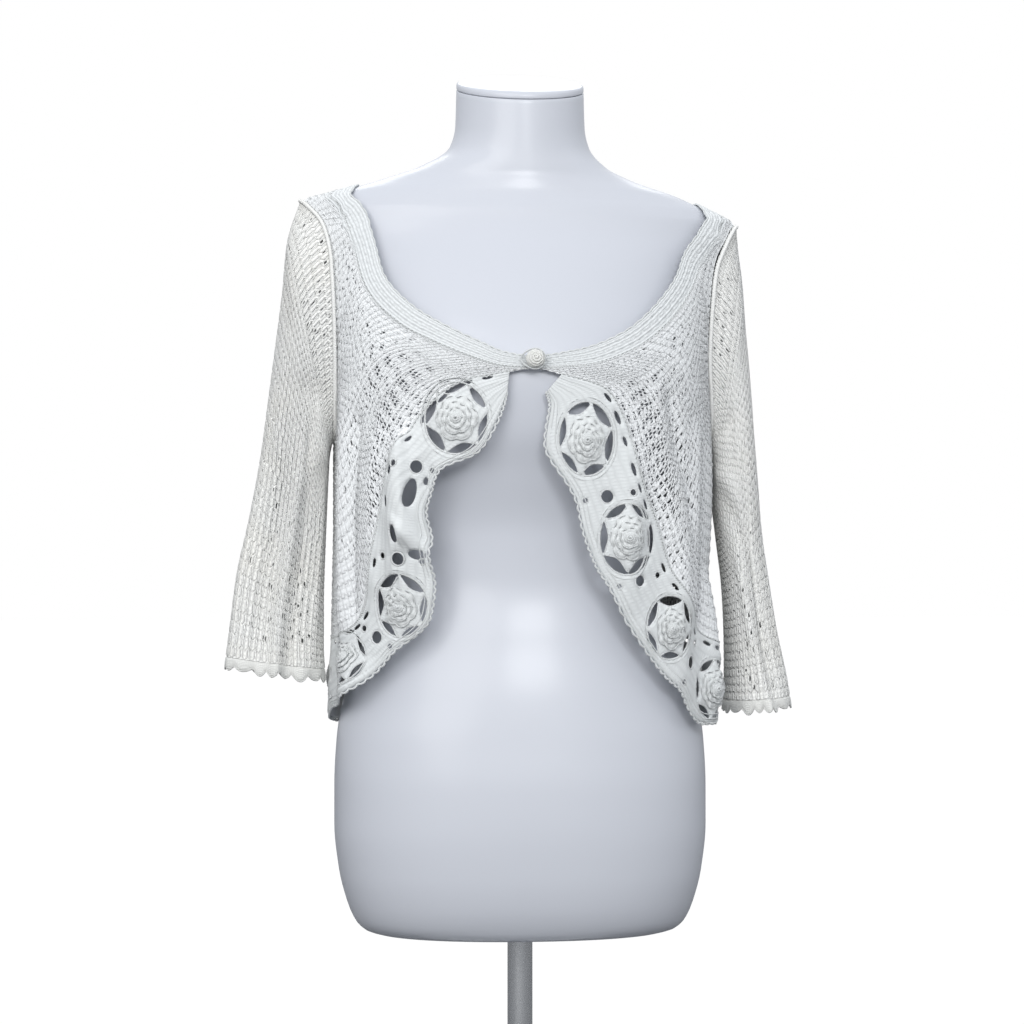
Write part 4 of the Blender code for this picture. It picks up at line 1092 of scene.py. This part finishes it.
def petalSheet(batch, index, reachOf, lifts, ruffle, waves, shift):
    # lift = middle + (edge - middle) * q^2 + ruffle * q^3 * sin(waves * angle), top and underside closed at the rim
    wide, high = lace["rings"][index][2:4]
    around, rows, thick = lace["petalAround"], lace["petalRows"], lace["petalThick"]
    angle = np.linspace(0, 2 * np.pi, around, endpoint=False)[None]
    q = np.linspace(0.12, 1, rows)
    q = np.concatenate([q, q[::-1]])[:, None]
    over = np.concatenate([np.ones(rows), -np.ones(rows)])[:, None]
    reach = reachOf(angle) * q
    lift = lifts[0] + (lifts[1] - lifts[0]) * q ** 2 + ruffle * q ** 3 * np.sin(waves * angle)
    lift = lift + over * thick * np.sqrt(np.maximum(1.06 - q ** 4, 0))
    points, _ = laceSpot(index, reach * np.cos(angle) * wide + shift[0], reach * np.sin(angle) * high + shift[1], lift)
    middle, _ = laceSpot(index, np.full(2, shift[0]), np.full(2, shift[1]), lifts[0] + np.array([thick, -thick]))
    quads = gridQuads(2 * rows, around, False, True)[:, ::-1]
    uv = np.stack(np.broadcast_arrays(angle / (2 * np.pi), q), -1).reshape(-1, 2)
    batch.add(points, quads, uv[quads])
    batch.closeFans(2 * rows, around, middle, inward=True)


def laceCord(batch, index, reachOf, shape, high=0.0, shift=(0.0, 0.0)):
    # a cord round the motif at reach(angle), its lift rippling like crochet posts
    lift, radius, steps, ripple, ripples = shape
    halfWide, halfHigh = lace["rings"][index][2:4]
    angle = np.arange(steps) * 2 * np.pi / steps
    reach = reachOf(angle)
    x, y = reach * np.cos(angle) * halfWide + shift[0], reach * np.sin(angle) * halfHigh + shift[1]
    path, normal = laceSpot(index, x, y, high + lift + ripple * np.sin(ripples * angle))
    sweep(batch, path, normal, radius, 3, closed=True)


def buildRoses():
    # three tiers of petals: reach = tier * (0.84 + 0.16 |cos(n a / 2)|^0.6), and a coiled bud in the middle
    petals, cords = Batch(), Batch()
    for index in range(clothForm["motifs"]):
        if index in lace["hidden"]:
            continue
        shift = roseShift(index)
        for reachShare, count, turn, low, high, ruffle in lace["tiers"]:
            def reachOf(angle, reachShare=reachShare, count=count, turn=turn + 0.37 * index):
                return reachShare * (0.84 + 0.16 * np.abs(np.cos(count * (angle - turn) / 2)) ** 0.6)
            petalSheet(petals, index, reachOf, (low, high), ruffle, count * 2, shift)
            laceCord(cords, index, lambda angle, f=reachOf: f(angle) * 0.985, lace["tierCord"], high, shift)
        reach, low, high, turns, size, yarn = lace["bud"]
        t = np.linspace(0, 1, 70)
        turned = 2 * np.pi * turns * t + index
        spiral = reach * (1 - t) ** 0.8 + 0.012
        x, y = spiral * np.cos(turned) * size + shift[0], spiral * np.sin(turned) * size + shift[1]
        path, normal = laceSpot(index, x, y, low + (high - low) * t - 0.8)
        sweep(cords, path, normal, yarn, 5)
        laceCord(cords, index, lambda angle: 1.015 + 0 * angle, lace["holeCord"])
        laceCord(cords, index, lambda angle, k=index: starReach(k, angle) - 0.035, lace["starCord"], 0.0, shift)
        laceCord(cords, index, lambda angle: 1.13 + 0 * angle, lace["ringCord"])
    t = np.linspace(0, 2 * np.pi, 26, endpoint=False)[:, None]
    for at in jointPlaces():
        for across, radius in lace["joints"]:
            middle, normal = onCloth(trimPlan(at, across))
            right = unit(np.cross(normal, (0, 0, 1)))
            ring = middle + (radius + 0.5) * (np.cos(t) * right + np.sin(t) * np.cross(right, normal)) + normal * 0.5
            sweep(cords, ring, np.broadcast_to(normal, ring.shape), 0.85, 4, closed=True)
    return [buildPiece("roses", petals, materials["petalRows"]),
            buildPiece("roseCords", cords, materials["trimCord"])]


def buildEdges():
    # outer edge pushed out by scallop * |sin(pi scallops place)|^0.8, and a chain along the knit
    batch = Batch()
    count = clothForm["motifs"]
    place = np.linspace(0.004, count - 0.004, count * lace["scallops"] * 6 + 1)
    wave = np.abs(np.sin(np.pi * lace["scallops"] * place)) ** 0.8
    for lift, radius, push, inset in lace["edges"]:
        share = bandReach(place) - inset
        path, normal = onCloth(trimPlan(place, share))
        outward = unit(path - clothAt(trimPlan(place, share - 0.1)))
        path = path + outward * (push * lace["scallop"] * wave)[:, None] + normal * lift
        sweep(batch, path, normal, radius * (0.85 + 0.15 * wave), 4)
    place = np.linspace(0.004, count - 0.004, 1700)
    path, normal = onCloth(trimPlan(place, 0 * place), 0.6)
    plait(batch, path, normal, 0.9, 0.5, 190, 0.85)
    return buildPiece("laceEdge", batch, materials["trimCord"])


trimPieces = [buildBand()] + buildRoses() + [buildEdges()]
print("lace:", {piece.name: triangles[piece.name] for piece in trimPieces})


# neckband, button and loop

neckband = {
    "ridges": 7, "thick": 1.0, "steps": 640, "across": 21, "rounding": 14,
    # rows of dashes: share across the band, dashes all along, depth in mm, steepness, half width as a share
    "rows": (0.26, 0.50, 0.74), "dashes": 128, "dashDepth": 1.5, "dashSteep": 1.6, "dashWide": 0.045,
    # where the band is wider, on the shoulders: places, by how much, spread
    "wider": (0.93, 3.07), "widerBy": 0.30, "widerOver": 0.15,
    "chain": 0.96, "chainSteps": 950, "picots": 150, "picot": 0.9,
}
button = {
    "angle": -0.4, "height": 505.5, "radius": 7.6, "lift": 7.9,
    # turns of the yarn, its radius, steps to a turn, waves to a turn and their height, depth of the core in mm
    "turns": 9, "yarn": 1.0, "steps": 34, "waves": 7.5, "wave": 0.22, "core": 0.9, "rows": 16, "around": 32,
}
buttonLoop = {"radius": 1.3, "stretch": 0.35, "steps": 96, "reach": 0.35, "over": 0.25, "turns": 18, "yarn": 0.62,
              "sides": 6}


def buildNeckband():
    # across the band: lift = thick * (0.85 + 0.15 |sin(ridges pi share)|), a rounded strip with plaited chains on it
    places, count = np.linspace(0.002, 3.998, neckband["steps"]), neckband["across"]
    upper, lower = neckEdge(places), neckEdge(places, lower=True)
    across = np.linspace(0, 1, count)
    share = np.concatenate([across, across[::-1]])[None]
    over = np.concatenate([np.ones(count), -np.ones(count)])[None]
    ends = np.clip(np.minimum(share, 1 - share) * neckband["rounding"], 0, 1) ** 0.5
    lift = over * neckband["thick"] * ends * (0.85 + 0.15 * np.abs(np.sin(neckband["ridges"] * np.pi * share)))
    for number, row in enumerate(neckband["rows"]):  # a row of dashes sinks in between two rows of stitches
        dash = np.sin(2 * np.pi * (neckband["dashes"] * places[:, None] / 4 + number / 2)) * neckband["dashSteep"]
        reach = np.exp(-((share - row) / neckband["dashWide"]) ** 2)
        lift = lift - over * neckband["dashDepth"] * np.clip(dash, 0, 1) * reach
    near = sum(np.exp(-((places - at) / neckband["widerOver"]) ** 2) for at in neckband["wider"])
    wider = 1 + neckband["widerBy"] * near[:, None, None]
    points, _ = onCloth(upper[:, None] + (lower - upper)[:, None] * share[..., None] * wider, lift[..., None])
    quads = gridQuads(len(places), 2 * count, False, True)[:, ::-1]
    uv = np.stack(np.broadcast_arrays(places[:, None] / 4, share), -1).reshape(-1, 2)
    band, chains = Batch(), Batch()
    band.add(points, quads, uv[quads])
    band.closeEnds(len(places), 2 * count)
    buildPiece("neckBand", band, materials["bandRows"], ["neckband"])
    fine = np.linspace(0.004, 3.996, neckband["chainSteps"])
    upper, lower = neckEdge(fine), neckEdge(fine, lower=True)
    path, normal = onCloth(blend((upper, lower), neckband["chain"]), 0.8)
    plait(chains, path, normal, 0.85, 0.3, neckband["picots"], 0.5)
    path, normal = onCloth(upper)
    outward = unit(path - clothAt(upper * 0.9 + lower * 0.1))
    wave = np.abs(np.sin(np.pi * neckband["picots"] * 0.8 * fine / 4))
    sweep(chains, path + outward * (neckband["picot"] * wave)[:, None], normal, 0.95, 4)
    buildPiece("neckChains", chains, materials["trimCord"])


def buildButton():
    # a ball of radius r, wound with one yarn: its latitude climbs as the yarn turns
    centre, facing = onCloth(np.array([button["angle"], button["height"]]), button["lift"])
    sideways = unit(np.cross(facing, (0, 0, 1)))
    upward = np.cross(sideways, facing)

    def onBall(latitude, turn, radius):
        # centre + radius * (cos latitude * (cos turn, sin turn) + sin latitude * facing)
        latitude, turn = latitude[..., None], turn[..., None]
        spoke = np.cos(turn) * sideways + np.sin(turn) * upward
        return centre + np.asarray(radius)[..., None] * (np.cos(latitude) * spoke + np.sin(latitude) * facing)
    core, rows, around = button["radius"] - button["core"], button["rows"], button["around"]
    ringAt = np.linspace(-np.pi / 2, np.pi / 2, rows + 2)[1:-1, None]
    roundIt = np.linspace(0, 2 * np.pi, around, endpoint=False)[None]
    ball, loop = Batch(), Batch()
    ball.add(onBall(ringAt + 0 * roundIt, roundIt + 0 * ringAt, core), gridQuads(rows, around, False, True))
    ball.closeEnds(rows, around, outward=True)
    t = np.linspace(0, 1, button["turns"] * button["steps"])
    turn = 2 * np.pi * button["turns"] * t
    path = onBall(np.pi * (t - 0.5) * 0.985, turn, core + 0.3 + button["wave"] * np.sin(turn * button["waves"]))
    sweep(ball, path, unit(path - centre), button["yarn"], 5)
    buildPiece("crochetButton", ball, materials["buttonCotton"], ["button"])
    reach = button["radius"] + 0.9
    s = np.linspace(0, 2 * np.pi, buttonLoop["steps"], endpoint=False)
    leftward = np.clip(-np.cos(s), 0, 1)
    down = (button["lift"] - wall / 2 - 0.3 - buttonLoop["radius"]) * leftward ** 2
    stretched = reach * np.cos(s) * (1 + buttonLoop["stretch"] * leftward ** 2)
    path = centre + np.stack([stretched, down, reach * np.sin(s)], -1)
    normal = np.broadcast_to(np.array([0.0, -1.0, 0.0]), path.shape)
    plait(loop, path, normal, buttonLoop["reach"], buttonLoop["over"], buttonLoop["turns"], buttonLoop["yarn"],
          buttonLoop["sides"], closed=True)
    buildPiece("yarnLoop", loop, materials["trimCord"], ["button_loop"])


buildNeckband()
buildButton()
print("neckband, button and loop made")


# dress form and stand

standShape = {
    # radius and height above the ground, from the underside up; the rim and the hub are rounded
    "base": [(138, 0), (139.5, 0.6), (140, 2), (140, 4.6), (139.2, 6.4), (137.5, 7), (110, 8.2), (48, 10), (40, 11.2),
             (32, 14.5), (26.5, 18.5), (24, 22), (23.2, 26), (21.5, 28.8), (18, 30), (11.3, 30)],
    "pole": [(11, 30.3), (11, 31), (11, 200.4), (11, 200.7)],
    "around": 96, "sharpFrom": 50,
}
# heights of the torso's rings: rounded foot, spans as first, last and count, rounded top
torsoRows = {"foot": (11, 11.6, 12.6, 14, 17, 20, 24, 30), "spans": ((38, 600, 84), (606, 690, 56), (694, 747.2, 16)),
             "top": (747.8, 748)}
# mm above the neck's rim, share of the rim
capRows = ((0.3, 0.6), (0.3, 0.975), (0.7, 0.995), (1.4, 1.0), (4.2, 1.0), (5.46, 0.992), (6.3, 0.975), (6.79, 0.945),
           (7.0, 0.90), (7.14, 0.7), (7.21, 0.35))


def formRings(heights):
    # superelliptic rings; the neck's rings tilt by slant * y as they near its top
    heights = np.asarray(heights, float)
    angle = np.linspace(0, 360, bodyForm["around"], endpoint=False)[None]
    distance = roundedSection(angle, *curveThrough(bodyForm["sections"], heights).T[..., None])
    rings = roundTheAxis(angle, distance, heights[:, None] + 0 * distance)
    foot = bodyForm["neckFoot"]
    slanted = np.clip((heights - foot) / (bodyForm["neckTop"] - foot), 0, 1)[:, None]
    rings[..., 2] += bodyForm["neckSlant"] * rings[..., 1] * slanted
    return rings


def closedPiece(name, rings, material, node):
    # rings from the underside up, with a point in the middle of each end
    batch = Batch()
    batch.add(rings, gridQuads(*rings.shape[:2], False, True))
    batch.closeFans(*rings.shape[:2], np.stack([rings[0].mean(axis=0), rings[-1].mean(axis=0)]))
    return buildPiece(name, batch, materials[material], [node])


def buildForm():
    # rings of the body's section at each height, closed at the foot and under the neck cap
    spans = [np.linspace(*span) for span in torsoRows["spans"]]
    rings = formRings(np.concatenate([torsoRows["foot"], *spans, torsoRows["top"]]))
    inner, top = rings[0].mean(axis=0), rings[-1].mean(axis=0)
    low = [inner + (rings[0] - inner) * share for share in (0.5, 0.9, 0.985)]
    rings[-1] = top + (rings[-1] - top) * 0.985
    rings[-2] = top + (rings[-2] - top) * 0.996
    rings = np.concatenate([np.array(low), rings, np.array([top + (rings[-1] - top) * 0.5])])
    closedPiece("formTorso", rings, "formPlastic", "form_torso")
    rim = formRings([bodyForm["neckTop"]])[0]
    middle = rim.mean(axis=0)
    rings = np.array([middle + (rim - middle) * share + (0, 0, lift) for lift, share in capRows])
    closedPiece("neckCap", rings, "formPlastic", "form_neck_cap")


def turnedPiece(name, profile, material, node):
    # (r sin a, -r cos a, h) for each row of the profile
    rows = np.array(profile, float)
    angle = np.linspace(0, 360, standShape["around"], endpoint=False)[None]
    rings = roundTheAxis(angle, rows[:, :1] + 0 * angle, rows[:, 1:] - level + 0 * angle)
    made = closedPiece(name, rings, material, node)
    made.data.set_sharp_from_angle(angle=np.radians(standShape["sharpFrom"]))


buildForm()
turnedPiece("standBase", standShape["base"], "baseMetal", "stand_base")
turnedPiece("standPole", standShape["pole"], "poleChrome", "stand_pole")
print("form and stand made;", sum(triangles.values()), "triangles in all")


# floor, light and camera

studio = {
    "floorSize": 14.0, "floor": (0.12, 0.122, 0.125), "floorRoughness": 0.9,
    "shown": (1.0, 1.0, 1.0), "shownShare": 0.86, "shownStrength": 1.17,
    "world": (0.93, 0.96, 1.0), "worldStrength": 0.78,
    # place, size, power, colour
    "lamps": [((-1.5, -3.0, 1.9), 2.4, 50, (1.0, 0.995, 0.985)), ((0.42, -3.7, 2.0), 1.1, 42, (0.98, 0.99, 1.0)),
              ((0.2, 1.9, 2.6), 1.8, 20, (1.0, 1.0, 1.0))],
    "lampsAim": (0, 0, 0.6),
    "azimuth": -6.0, "distance": 2.8, "height": 0.568, "lens": 111.9, "slide": -0.007, "farthest": 60,
}


def buildStudio():
    # a flat floor; the camera stands at (sin a, -cos a) * distance and looks level at the form's axis
    size = studio["floorSize"]
    mesh = bpy.data.meshes.new("floor")
    mesh.from_pydata([(-size, -size, 0), (size, -size, 0), (size, size, 0), (-size, size, 0)], [], [(0, 1, 2, 3)])
    floor = putInScene(bpy.data.objects.new("floor", mesh))
    pale, nodes, shader = newMaterial("paleFloor")
    nodes.give(shader, Base_Color=(*studio["floor"], 1), Roughness=studio["floorRoughness"])
    glow = nodes.add("Emission", Color=(*studio["shown"], 1), Strength=studio["shownStrength"])
    nodes.cameraMix(studio["shownShare"], shader, glow, pale.node_tree.nodes["Material Output"])
    mesh.materials.append(pale)
    world = bpy.data.worlds.new("softRoom")
    world.use_nodes = True
    nodes, room = Nodes(world.node_tree), world.node_tree.nodes["Background"]
    nodes.give(room, Color=(*studio["world"], 1), Strength=studio["worldStrength"])
    shown = nodes.add("Background", Color=(*studio["shown"], 1))
    nodes.cameraMix(1.0, room, shown, world.node_tree.nodes["World Output"])
    bpy.context.scene.world = world
    for number, (place, width, power, colour) in enumerate(studio["lamps"]):
        lamp = bpy.data.lights.new(f"softbox{number + 1}", "AREA")
        lamp.shape, lamp.size, lamp.energy, lamp.color = "DISK", width, power, colour
        made = putInScene(bpy.data.objects.new(lamp.name, lamp))
        made.location = place
        made.rotation_euler = (Vector(studio["lampsAim"]) - Vector(place)).to_track_quat("-Z", "Y").to_euler()
    turned = np.radians(studio["azimuth"])
    camera = bpy.data.cameras.new("camera")
    camera.lens, camera.clip_end = studio["lens"], studio["farthest"]
    eye = putInScene(bpy.data.objects.new("camera", camera))
    right = Vector((np.cos(turned), np.sin(turned), 0))
    toward = Vector((-np.sin(turned), np.cos(turned), 0))
    eye.location = -toward * studio["distance"] + right * studio["slide"] + Vector((0, 0, studio["height"]))
    eye.rotation_euler = toward.to_track_quat("-Z", "Y").to_euler()
    bpy.context.scene.camera = eye
    bpy.context.scene.view_settings.view_transform = "Standard"


buildStudio()
print("studio ready")
